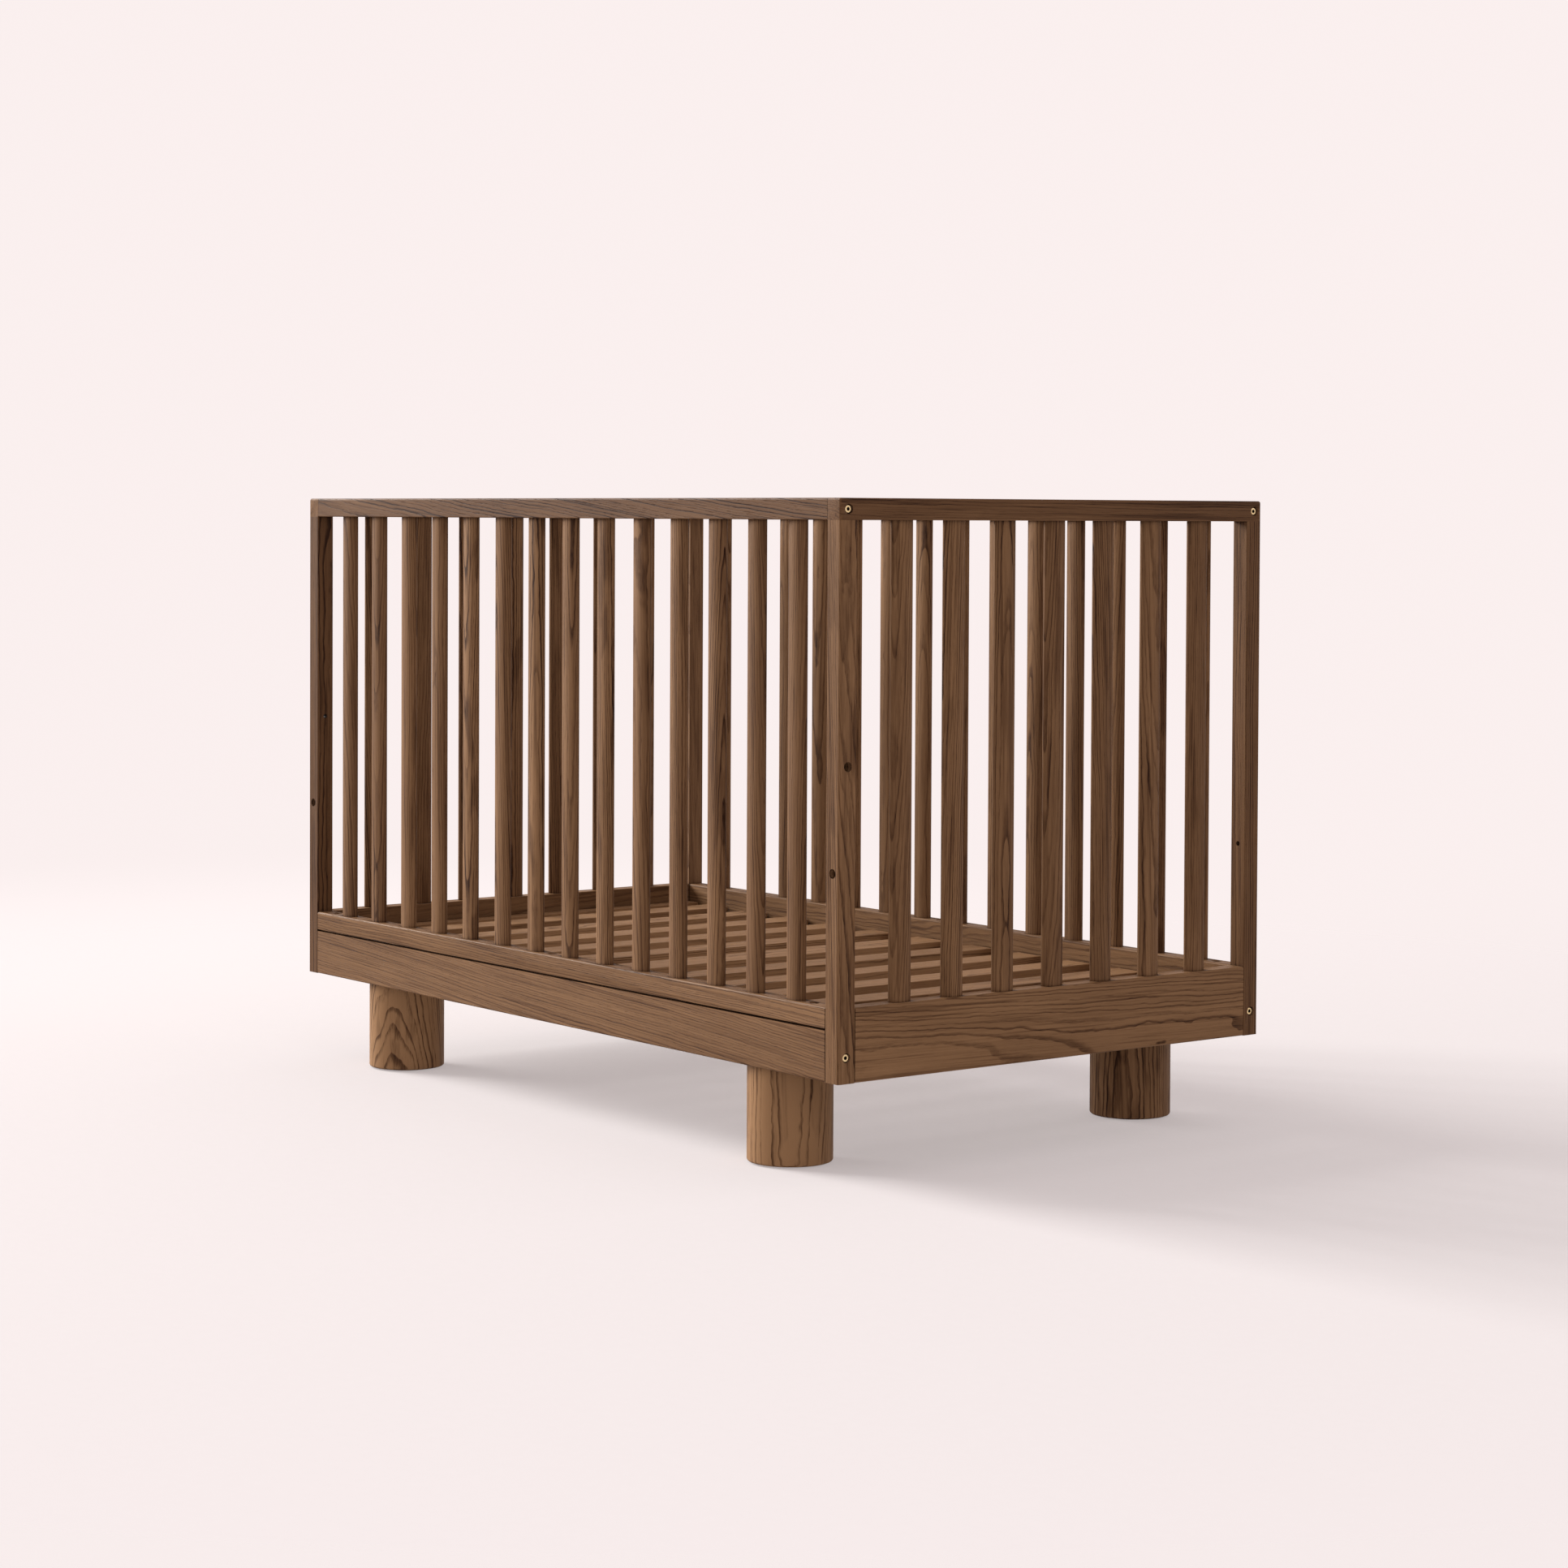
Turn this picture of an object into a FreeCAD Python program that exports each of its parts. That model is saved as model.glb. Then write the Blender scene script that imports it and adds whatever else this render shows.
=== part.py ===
import FreeCAD, Part
import os
import Sketcher

# A slatted wooden playpen of cot size: two end panels, two bolted side panels over skirt rails,
# a slatted base that is set at one of two heights, and four thick round legs.
# X runs along the length (foot end at +X), Y along the width (back at +Y), Z up from the floor.

V = FreeCAD.Vector
doc = FreeCAD.newDocument("slatted_playpen")

# ---------------------------------------------------------------- driving dimensions, in millimetres

DIMENSIONS = {
    "length": 1386, "width": 768, "height": 902,
    "stock": 28, "top_rail_depth": 29, "end_rail_depth": 99, "side_rail_depth": 31,
    "edge_radius": 1.5, "rail_radius": 3, "corner_radius": 4,
    "shadow_height": 3, "shadow_depth": 6,
    "leg_height": 136, "leg_diameter": 118, "leg_from_middle_x": 501, "leg_from_middle_y": 315,
    "leg_edge_radius": 3, "glide_thickness": 2, "glide_diameter": 90,
    "spindle_wide": 36, "spindle_thick": 18, "spindle_pitch": 90, "mortise_depth": 8,
    "side_spindles": 14, "end_spindles": 7,
    "bearer_thickness": 40, "ledge_size": 20, "ledge_gap": 2,
    "base_clearance": 4, "base_end_clearance": 5, "base_depth": 30, "member_width": 28,
    "slat_thickness": 12, "slat_width": 54, "centre_slat_width": 72,
    "first_slat": 122, "slat_pitch": 113, "slats_each_way": 5, "housing_depth": 2, "slat_radius": 1.5,
    "bolt_radius": 3, "bolt_clearance_radius": 3.5, "bolt_head_radius": 5, "bolt_head_length": 6,
    "bolt_length": 60, "bolt_socket": 2.5, "bolt_socket_depth": 3.5,
    "counterbore_radius": 6.5, "counterbore_depth": 8,
    "nut_radius": 5, "nut_length": 14, "nut_from_rail_end": 30,
    "skirt_bolt_height": 170, "base_hole_height": 411, "guard_rail_hole_height": 551,
    "panel_bolt_from_middle": 625, "panel_bolt_length": 40, "panel_counterbore_radius": 7,
    "panel_counterbore_depth": 9, "insert_radius": 4.5, "insert_length": 18, "insert_hole_spare": 2,
    "leg_bolt_radius": 5, "leg_bolt_length": 60, "leg_head_radius": 8, "leg_head_length": 10,
    "leg_counterbore_radius": 11, "leg_counterbore_depth": 14, "washer_thickness": 2, "washer_radius": 10,
    "leg_socket": 4, "leg_socket_depth": 5, "leg_insert_radius": 8, "leg_insert_length": 30,
    "leg_insert_hole_spare": 5,
    "dowel_radius": 5, "dowel_length": 30, "leg_dowel_length": 40, "leg_dowel_offset": 35,
    "post_dowel_length": 38, "post_dowel_in_rail": 10,
    "low_dowel_height": 155, "high_dowel_height": 215,
    "screw_radius": 2.25, "screw_length": 35, "screw_head_radius": 4.5, "screw_head_length": 3,
    "inner_screw_from_middle": 140, "outer_screw_from_middle": 400,
}

size = doc.addObject("Spreadsheet::Sheet", "size")
for row, (alias, number) in enumerate(DIMENSIONS.items(), start=1):
    size.set(f"A{row}", alias.replace("_", " "))
    size.set(f"B{row}", str(number))
    size.setAlias(f"B{row}", alias)
doc.recompute()

# Lines and levels that several pieces share, as expressions on the sheet.
POST_X = "(size.length - size.stock) / 2"
POST_Y = "(size.width - size.stock) / 2"
INNER_X = "(size.length / 2 - size.stock)"
INNER_Y = "(size.width / 2 - size.stock)"
RAIL_BOTTOM = "(size.height - size.top_rail_depth)"
LOW_RAIL_TOP = "(size.leg_height + size.end_rail_depth)"
SKIRT_TOP = "(size.leg_height + size.end_rail_depth - size.side_rail_depth)"
BEARER_TOP = "(size.leg_height + size.bearer_thickness)"
BASE_TOP = "(size.leg_height + size.bearer_thickness + size.base_depth)"
BASE_END_X = f"({INNER_X} - size.base_end_clearance)"
BASE_SIDE_Y = f"({INNER_Y} - size.base_clearance)"
TOP_BOLT_HEIGHT = "(size.height - size.top_rail_depth / 2)"

# An edge this near to a face, in millimetres, counts as lying on it when edges are picked for rounding.
ON_FACE = 1
HALF_STOCK = DIMENSIONS["stock"] / 2

ENDS = {"head_end": -1, "foot_end": 1}
SIDES = {"front": -1, "back": 1}
PLANES = {"X": "YZ_Plane", "Y": "XZ_Plane", "Z": "XY_Plane"}
TURNS = {
    "X": FreeCAD.Rotation(V(0, 1, 0), 90),
    "-X": FreeCAD.Rotation(V(0, 1, 0), -90),
    "Y": FreeCAD.Rotation(V(1, 0, 0), -90),
    "-Y": FreeCAD.Rotation(V(1, 0, 0), 90),
    "Z": FreeCAD.Rotation(),
    "-Z": FreeCAD.Rotation(V(1, 0, 0), 180),
}
parts = []


# ---------------------------------------------------------------- helpers

def keep(piece):
    """Puts a finished sub-part on the list that is checked and written."""
    parts.append(piece)
    return piece


def place(piece, x, y, z, axis="Z"):
    """Turns a piece's own Z towards an axis and binds its position to expressions."""
    piece.Placement = FreeCAD.Placement(V(0, 0, 0), TURNS[axis])
    piece.setExpression("Placement.Base.x", str(x))
    piece.setExpression("Placement.Base.y", str(y))
    piece.setExpression("Placement.Base.z", str(z))


def origin_feature(body, role):
    return next(f for f in body.Origin.OriginFeatures if f.Role == role)


def sketch_on(body, plane, name):
    sketch = body.newObject("Sketcher::SketchObject", name)
    sketch.AttachmentSupport = [(origin_feature(body, plane), "")]
    sketch.MapMode = "FlatFace"
    return sketch


def hold(sketch, kind, reference, expression, start=1.0):
    """Adds a dimension to a sketch and binds it to an expression."""
    index = sketch.addConstraint(Sketcher.Constraint(kind, *reference, start))
    sketch.setExpression(f"Constraints[{index}]", expression)


def draw_rectangle(sketch, low_x, low_y, wide, tall):
    """A rectangle held by its low corner and its two sides, each an expression."""
    corners = [V(-1, -1, 0), V(1, -1, 0), V(1, 1, 0), V(-1, 1, 0)]
    for start, end in zip(corners, corners[1:] + corners[:1]):
        sketch.addGeometry(Part.LineSegment(start, end), False)
    for line in range(4):
        sketch.addConstraint(Sketcher.Constraint("Coincident", line, 2, (line + 1) % 4, 1))
        sketch.addConstraint(Sketcher.Constraint("Vertical" if line % 2 else "Horizontal", line))
    hold(sketch, "DistanceX", (0, 1, 0, 2), wide)
    hold(sketch, "DistanceY", (1, 1, 1, 2), tall)
    hold(sketch, "DistanceX", (-1, 1, 0, 1), low_x)
    hold(sketch, "DistanceY", (-1, 1, 0, 1), low_y)


def runs_along(direction, axis):
    return abs(direction["XYZ".index(axis)]) > 0.9


def round_edges(body, radius, wanted, name="rounding"):
    """Rounds the edges of the body's tip for which wanted(direction, middle) is true."""
    doc.recompute()
    base = body.Tip
    names = []
    for number, edge in enumerate(base.Shape.Edges, start=1):
        if len(edge.Vertexes) == 2:
            direction = (edge.Vertexes[1].Point - edge.Vertexes[0].Point).normalize()
            middle = (edge.Vertexes[1].Point + edge.Vertexes[0].Point) * 0.5
        else:
            direction = V(0, 0, 0)
            middle = edge.CenterOfMass
        if wanted(direction, middle):
            names.append(f"Edge{number}")
    fillet = body.newObject("PartDesign::Fillet", f"{body.Name}_{name}")
    fillet.Base = (base, names)
    fillet.setExpression("Radius", radius)
    doc.recompute()
    return fillet


def board(label, grain, sides, centre, bottom):
    """A planed board: its section is padded along the grain. Its own origin is at its middle
    in plan and at its underside."""
    body = doc.addObject("PartDesign::Body", label)
    section = sketch_on(body, PLANES[grain], f"{label}_section")
    along = "XYZ".index(grain)
    across = [axis for axis in range(3) if axis != along]
    low = [f"-({sides[0]}) / 2", f"-({sides[1]}) / 2", "0"]
    draw_rectangle(section, low[across[0]], low[across[1]], sides[across[0]], sides[across[1]])
    pad = body.newObject("PartDesign::Pad", f"{label}_blank")
    pad.Profile = section
    pad.Midplane = grain != "Z"
    pad.setExpression("Length", sides[along])
    place(body, centre[0], centre[1], bottom)
    doc.recompute()
    return body


def bore(body, name, radius, depth, at, axis="Z"):
    """A round hole that starts at a point of the body's own frame and runs along an axis."""
    tool = body.newObject("PartDesign::SubtractiveCylinder", f"{body.Name}_{name}")
    tool.setExpression("Radius", radius)
    tool.setExpression("Height", depth)
    place(tool, *at, axis)
    return tool


def notch(body, name, sides, low):
    """A rectangular cut in the body's own frame, given its sides and its low corner."""
    tool = body.newObject("PartDesign::SubtractiveBox", f"{body.Name}_{name}")
    for prop, side in zip(("Length", "Width", "Height"), sides):
        tool.setExpression(prop, side)
    place(tool, *low)
    return tool


def repeat(body, feature, axis, pitch, count):
    """Repeats a feature of the body in a row along one of its own axes."""
    pattern = body.newObject("PartDesign::LinearPattern", f"{feature.Name}_row")
    pattern.Originals = [feature]
    pattern.Direction = (origin_feature(body, f"{axis}_Axis"), [""])
    pattern.setExpression("Length", f"({pitch}) * (({count}) - 1)")
    pattern.setExpression("Occurrences", count)
    body.Tip = pattern
    doc.recompute()
    return pattern


def spindle_mortises(body, axis, count, face, upward):
    """A row of oval mortises in a rail's face, at the spindles' pitch about the rail's middle."""
    wide, thick = DIMENSIONS["spindle_wide"], DIMENSIONS["spindle_thick"]
    first = -(DIMENSIONS[count.split(".")[1]] - 1) * DIMENSIONS["spindle_pitch"] / 2
    run = V(1, 0, 0) if axis == "X" else V(0, 1, 0)
    side = V(-run.y, run.x, 0)
    centre = run * first
    sketch = sketch_on(body, "XY_Plane", f"{body.Name}_oval")
    sketch.setExpression("AttachmentOffset.Base.z", face)
    oval = sketch.addGeometry(
        Part.Ellipse(centre + run * (wide / 2), centre + side * (thick / 2), centre), False)
    sketch.exposeInternalGeometry(oval)
    sketch.addConstraint(Sketcher.Constraint("Horizontal" if axis == "X" else "Vertical", oval + 1))
    hold(sketch, "Distance", (oval + 1,), "size.spindle_wide", wide)
    hold(sketch, "Distance", (oval + 2,), "size.spindle_thick", thick)
    middle = f"-({count} - 1) * size.spindle_pitch / 2"
    hold(sketch, "DistanceX", (-1, 1, oval, 3), middle if axis == "X" else "0", centre.x)
    hold(sketch, "DistanceY", (-1, 1, oval, 3), middle if axis == "Y" else "0", centre.y)
    pocket = body.newObject("PartDesign::Pocket", f"{body.Name}_mortise")
    pocket.Profile = sketch
    pocket.Reversed = upward
    pocket.setExpression("Length", "size.mortise_depth")
    doc.recompute()
    return repeat(body, pocket, axis, "size.spindle_pitch", count)


def spindle_row(label, axis, count, x, y):
    """Oval spindles of one panel: separate solids at one pitch, each let into both rails."""
    spindles = []
    for number in range(DIMENSIONS[count.split(".")[1]]):
        shift = f"({number} - ({count} - 1) / 2) * size.spindle_pitch"
        oval = doc.addObject("Part::Ellipse", f"{label}_oval_{number + 1:02d}")
        oval.setExpression("MajorRadius", "size.spindle_wide / 2")
        oval.setExpression("MinorRadius", "size.spindle_thick / 2")
        place(oval, f"{x} + {shift}" if axis == "X" else x, f"{y} + {shift}" if axis == "Y" else y,
              f"{LOW_RAIL_TOP} - size.mortise_depth")
        if axis == "Y":
            oval.Placement.Rotation = FreeCAD.Rotation(V(0, 0, 1), 90)
        spindle = doc.addObject("Part::Extrusion", f"{label}_{number + 1:02d}")
        spindle.Base = oval
        spindle.DirMode = "Custom"
        spindle.Dir = V(0, 0, 1)
        spindle.Solid = True
        spindle.setExpression("LengthFwd", f"{RAIL_BOTTOM} - {LOW_RAIL_TOP} + 2 * size.mortise_depth")
        spindles.append(spindle)
    return group(label, spindles)


def group(label, pieces):
    """Several separate solids in one node."""
    together = doc.addObject("Part::Compound", label)
    together.Links = pieces
    return keep(together)


def mirrored(piece, name, normal):
    """A mirror image of a piece in a plane through the object's middle."""
    image = doc.addObject("Part::Mirroring", name)
    image.Source = piece
    image.Normal = normal
    image.Base = V(0, 0, 0)
    return image


def in_all_corners(piece):
    """A piece that sits at +X, +Y with its images at the other three corners."""
    other_end = mirrored(piece, f"{piece.Name}_head", V(1, 0, 0))
    other_side = mirrored(piece, f"{piece.Name}_front", V(0, 1, 0))
    opposite = mirrored(other_end, f"{piece.Name}_opposite", V(0, 1, 0))
    return [piece, other_end, other_side, opposite]


def on_both_sides(piece):
    """A piece at +Y on the middle line with its image at -Y."""
    return [piece, mirrored(piece, f"{piece.Name}_front", V(0, 1, 0))]


def rod(name, radius, length):
    """A plain round blank that stands on its own origin."""
    body = doc.addObject("PartDesign::Body", name)
    blank = body.newObject("PartDesign::AdditiveCylinder", f"{name}_blank")
    blank.setExpression("Radius", radius)
    blank.setExpression("Height", length)
    return body


def cap_bolt(name, kind, shank_length):
    """A socket cap bolt whose head stands on its own origin, with the shank hanging below."""
    values = {
        "bolt": ("size.bolt_radius", "size.bolt_head_radius", "size.bolt_head_length",
                 "size.bolt_socket", "size.bolt_socket_depth"),
        "leg_bolt": ("size.leg_bolt_radius", "size.leg_head_radius", "size.leg_head_length",
                     "size.leg_socket", "size.leg_socket_depth"),
    }
    shank_radius, head_radius, head_length, socket, socket_depth = values[kind]
    body = rod(name, head_radius, head_length)
    shank = body.newObject("PartDesign::AdditiveCylinder", f"{name}_shank")
    shank.setExpression("Radius", shank_radius)
    shank.setExpression("Height", shank_length)
    place(shank, "0", "0", f"-({shank_length})")
    key = body.newObject("PartDesign::SubtractivePrism", f"{name}_socket")
    key.Polygon = 6
    key.setExpression("Circumradius", socket)
    key.setExpression("Height", socket_depth)
    place(key, "0", "0", f"{head_length} - {socket_depth}")
    return body


def barrel_nut(name, x, y, z, axis):
    """A cross dowel nut with its threaded hole across the middle, for a bolt that runs along X."""
    body = rod(name, "size.nut_radius", "size.nut_length")
    bore(body, "thread", "size.bolt_radius", "2 * size.nut_radius",
         ("-size.nut_radius", "0", "size.nut_length / 2"), "X")
    place(body, x, y, z, axis)
    return body


# ---------------------------------------------------------------- end panels

def make_post(end, side):
    """A square corner post under the end's top rail. A skirt bolt goes through it low down. Higher up
    are empty holes: one for a base bracket, and in the front posts one for a guard rail."""
    along, across = ENDS[end], SIDES[side]
    label = f"{end}_{side}_post"
    post = board(label, "Z", ("size.stock", "size.stock", f"{RAIL_BOTTOM} - size.leg_height"),
                 (f"{along} * {POST_X}", f"{across} * {POST_Y}"), "size.leg_height")
    outer = V(along, across, 0)
    round_edges(post, "size.corner_radius",
                lambda d, m: runs_along(d, "Z") and m.dot(outer) > HALF_STOCK, "outer_corner")
    round_edges(post, "size.edge_radius",
                lambda d, m: runs_along(d, "Z") and m.dot(outer) < HALF_STOCK, "inner_corners")
    outer_x = f"{along} * size.stock / 2"
    outer_y = f"{across} * size.stock / 2"
    inward_x = "-X" if along > 0 else "X"
    inward_y = "-Y" if across > 0 else "Y"
    lengthwise = {"skirt_bolt": "size.skirt_bolt_height"}
    if side == "front":
        lengthwise["guard_rail_hole"] = "size.guard_rail_hole_height"
    for name, height in lengthwise.items():
        level = f"{height} - size.leg_height"
        bore(post, f"{name}_way", "size.bolt_clearance_radius", "size.stock", (outer_x, "0", level), inward_x)
        bore(post, f"{name}_seat", "size.counterbore_radius", "size.counterbore_depth",
             (outer_x, "0", level), inward_x)
    level = "size.base_hole_height - size.leg_height"
    bore(post, "base_hole_way", "size.bolt_clearance_radius", "size.stock", ("0", outer_y, level), inward_y)
    bore(post, "base_hole_seat", "size.counterbore_radius", "size.counterbore_depth",
         ("0", outer_y, level), inward_y)
    for name, height in (("low_dowel", "size.low_dowel_height"), ("high_dowel", "size.high_dowel_height")):
        bore(post, name, "size.dowel_radius", "size.dowel_length / 2",
             ("0", f"-({outer_y})", f"{height} - size.leg_height"), "Y" if across > 0 else "-Y")
    bore(post, "top_dowel", "size.dowel_radius", "size.post_dowel_length - size.post_dowel_in_rail",
         ("0", "0", f"{RAIL_BOTTOM} - size.leg_height"), "-Z")
    return keep(post)


def make_end_rails(end):
    """The end's top rail, which lies over both posts, and its deep bottom rail between them."""
    along = ENDS[end]
    top = board(f"{end}_top_rail", "Y", ("size.stock", "size.width", "size.top_rail_depth"),
                (f"{along} * {POST_X}", "0"), RAIL_BOTTOM)
    half = DIMENSIONS["width"] / 2 - ON_FACE
    round_edges(top, "size.corner_radius",
                lambda d, m: runs_along(d, "Z") and abs(m.y) > half and m.x * along > 0, "outer_corners")
    upper = DIMENSIONS["top_rail_depth"] - ON_FACE
    round_edges(top, "size.rail_radius",
                lambda d, m: m.z > upper and (m.x * along > 0 or abs(m.y) > half), "top_edges")
    outer = f"{along} * size.stock / 2"
    inward = "-X" if along > 0 else "X"
    middle = "size.top_rail_depth / 2"
    for side, across in SIDES.items():
        y = f"{across} * {POST_Y}"
        bore(top, f"{side}_bolt_way", "size.bolt_clearance_radius", "size.stock", (outer, y, middle), inward)
        bore(top, f"{side}_bolt_seat", "size.counterbore_radius", "size.counterbore_depth",
             (outer, y, middle), inward)
        bore(top, f"{side}_dowel", "size.dowel_radius", "size.post_dowel_in_rail", ("0", y, "0"), "Z")
    spindle_mortises(top, "Y", "size.end_spindles", "0", True)
    keep(top)

    low = board(f"{end}_bottom_rail", "Y", ("size.stock", f"2 * {INNER_Y}", "size.end_rail_depth"),
                (f"{along} * {POST_X}", "0"), "size.leg_height")
    round_edges(low, "size.rail_radius",
                lambda d, m: runs_along(d, "Y") and m.x * along > 0, "outer_edges")
    round_edges(low, "size.edge_radius",
                lambda d, m: runs_along(d, "Y") and m.x * along < ON_FACE - HALF_STOCK, "inner_edges")
    for side, across in SIDES.items():
        for name, height in (("low", "size.low_dowel_height"), ("high", "size.high_dowel_height")):
            bore(low, f"{side}_{name}_dowel", "size.dowel_radius", "size.dowel_length / 2",
                 ("0", f"{across} * {INNER_Y}", f"{height} - size.leg_height"), "-Y" if across > 0 else "Y")
    spindle_mortises(low, "Y", "size.end_spindles", "size.end_rail_depth", False)
    keep(low)
    spindle_row(f"{end}_spindles", "Y", "size.end_spindles", f"{along} * {POST_X}", "0")


# ---------------------------------------------------------------- side panels and skirts

def make_side_panel(side):
    """A side panel between the end panels: top rail, spindles and a shallow bottom rail."""
    across = SIDES[side]
    centre = ("0", f"{across} * {POST_Y}")
    top = board(f"{side}_top_rail", "X", (f"2 * {INNER_X}", "size.stock", "size.top_rail_depth"),
                centre, RAIL_BOTTOM)
    upper = DIMENSIONS["top_rail_depth"] - ON_FACE
    round_edges(top, "size.rail_radius", lambda d, m: runs_along(d, "X") and m.z > upper, "top_edges")
    round_edges(top, "size.edge_radius", lambda d, m: runs_along(d, "X") and m.z < ON_FACE, "lower_edges")
    for end, along in ENDS.items():
        bore(top, f"{end}_bolt_way", "size.bolt_clearance_radius",
             "size.bolt_length - size.stock + size.counterbore_depth",
             (f"{along} * {INNER_X}", "0", "size.top_rail_depth / 2"), "-X" if along > 0 else "X")
        bore(top, f"{end}_nut_way", "size.nut_radius", "size.top_rail_depth / 2 + size.nut_length / 2",
             (f"{along} * ({INNER_X} - size.nut_from_rail_end)", "0", "0"), "Z")
    spindle_mortises(top, "X", "size.side_spindles", "0", True)
    keep(top)

    low = board(f"{side}_bottom_rail", "X", (f"2 * {INNER_X}", "size.stock", "size.side_rail_depth"),
                centre, SKIRT_TOP)
    upper = DIMENSIONS["side_rail_depth"] - ON_FACE
    round_edges(low, "size.rail_radius", lambda d, m: runs_along(d, "X") and m.z > upper, "top_edges")
    inner_corner = "size.stock / 2 - size.shadow_depth" if across > 0 else "-size.stock / 2"
    notch(low, "shadow_line", (f"2 * {INNER_X}", "size.shadow_depth", "size.shadow_height"),
          (f"-{INNER_X}", inner_corner, "0"))
    for name, x in panel_bolt_places():
        bore(low, f"{name}_way", "size.bolt_clearance_radius", "size.side_rail_depth",
             (x, "0", "size.side_rail_depth"), "-Z")
        bore(low, f"{name}_seat", "size.panel_counterbore_radius", "size.panel_counterbore_depth",
             (x, "0", "size.side_rail_depth"), "-Z")
    spindle_mortises(low, "X", "size.side_spindles", "size.side_rail_depth", False)
    keep(low)
    spindle_row(f"{side}_spindles", "X", "size.side_spindles", "0", f"{across} * {POST_Y}")


def panel_bolt_places():
    return (("head_bolt", "-size.panel_bolt_from_middle"), ("middle_bolt", "0"),
            ("foot_bolt", "size.panel_bolt_from_middle"))


def screw_places():
    return [f"{sign} * size.{name}_screw_from_middle" for name in ("inner", "outer") for sign in (-1, 1)]


def make_skirt(side):
    """The skirt rail under a side panel: it carries the panel's inserts and rests on the legs."""
    across = SIDES[side]
    depth = f"({SKIRT_TOP} - size.leg_height)"
    skirt = board(f"{side}_skirt_rail", "X", (f"2 * {INNER_X}", "size.stock", depth),
                  ("0", f"{across} * {POST_Y}"), "size.leg_height")
    round_edges(skirt, "size.rail_radius",
                lambda d, m: runs_along(d, "X") and m.z < ON_FACE and m.y * across > 0, "lower_edge")
    inner_face = f"{-across} * size.stock / 2"
    outward = "Y" if across > 0 else "-Y"
    for end, along in ENDS.items():
        inward = "-X" if along > 0 else "X"
        level = "size.skirt_bolt_height - size.leg_height"
        bore(skirt, f"{end}_bolt_way", "size.bolt_clearance_radius",
             "size.bolt_length - size.stock + size.counterbore_depth",
             (f"{along} * {INNER_X}", "0", level), inward)
        bore(skirt, f"{end}_nut_way", "size.nut_radius", "size.stock / 2 + size.nut_length / 2",
             (f"{along} * ({INNER_X} - size.nut_from_rail_end)", inner_face, level), outward)
        for shift in (-1, 1):
            bore(skirt, f"{end}_bearer_dowel", "size.dowel_radius", "size.dowel_length / 2",
                 (f"{along} * size.leg_from_middle_x + {shift} * size.leg_dowel_offset", inner_face,
                  "size.bearer_thickness / 2"), outward)
    for name, x in panel_bolt_places():
        bore(skirt, f"{name}_insert", "size.insert_radius", "size.insert_length + size.insert_hole_spare",
             (x, "0", depth), "-Z")
    for number, x in enumerate(screw_places(), start=1):
        bore(skirt, f"ledge_screw_{number}", "size.screw_radius", "size.screw_length - size.ledge_size",
             (x, inner_face, "size.bearer_thickness - size.ledge_size / 2"), outward)
    return keep(skirt)


# ---------------------------------------------------------------- bearers, ledges and legs

def make_bearer(end):
    """A cross bearer between the skirts: the legs are bolted up into it and the base lies on it."""
    along = ENDS[end]
    bearer = board(f"{end}_bearer", "Y", ("size.leg_diameter", f"2 * {INNER_Y}", "size.bearer_thickness"),
                   (f"{along} * size.leg_from_middle_x", "0"), "size.leg_height")
    round_edges(bearer, "size.edge_radius", lambda d, m: runs_along(d, "Y"))
    for side, across in SIDES.items():
        y = f"{across} * size.leg_from_middle_y"
        bore(bearer, f"{side}_leg_bolt_way", "size.leg_bolt_radius", "size.bearer_thickness",
             ("0", y, "size.bearer_thickness"), "-Z")
        bore(bearer, f"{side}_leg_bolt_seat", "size.leg_counterbore_radius", "size.leg_counterbore_depth",
             ("0", y, "size.bearer_thickness"), "-Z")
        bore(bearer, f"{side}_leg_dowel", "size.dowel_radius", "size.leg_dowel_length / 2",
             (f"{along} * size.leg_dowel_offset", y, "0"), "Z")
        for shift in (-1, 1):
            bore(bearer, f"{side}_dowel", "size.dowel_radius", "size.dowel_length / 2",
                 (f"{shift} * size.leg_dowel_offset", f"{across} * {INNER_Y}", "size.bearer_thickness / 2"),
                 "-Y" if across > 0 else "Y")
    return keep(bearer)


def make_ledge(side):
    """A batten screwed to the skirt between the bearers, to carry the long edge of the base."""
    across = SIDES[side]
    ledge = board(f"{side}_ledge", "X",
                  ("2 * (size.leg_from_middle_x - size.leg_diameter / 2 - size.ledge_gap)",
                   "size.ledge_size", "size.ledge_size"),
                  ("0", f"{across} * ({INNER_Y} - size.ledge_size / 2)"), f"{BEARER_TOP} - size.ledge_size")
    round_edges(ledge, "size.edge_radius", lambda d, m: runs_along(d, "X") and m.y * across < 0)
    free_face = f"{-across} * size.ledge_size / 2"
    outward = "Y" if across > 0 else "-Y"
    for number, x in enumerate(screw_places(), start=1):
        bore(ledge, f"screw_way_{number}", "size.screw_radius", "size.ledge_size",
             (x, free_face, "size.ledge_size / 2"), outward)
        bore(ledge, f"screw_seat_{number}", "size.screw_head_radius", "size.screw_head_length",
             (x, free_face, "size.ledge_size / 2"), outward)
    return keep(ledge)


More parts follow.
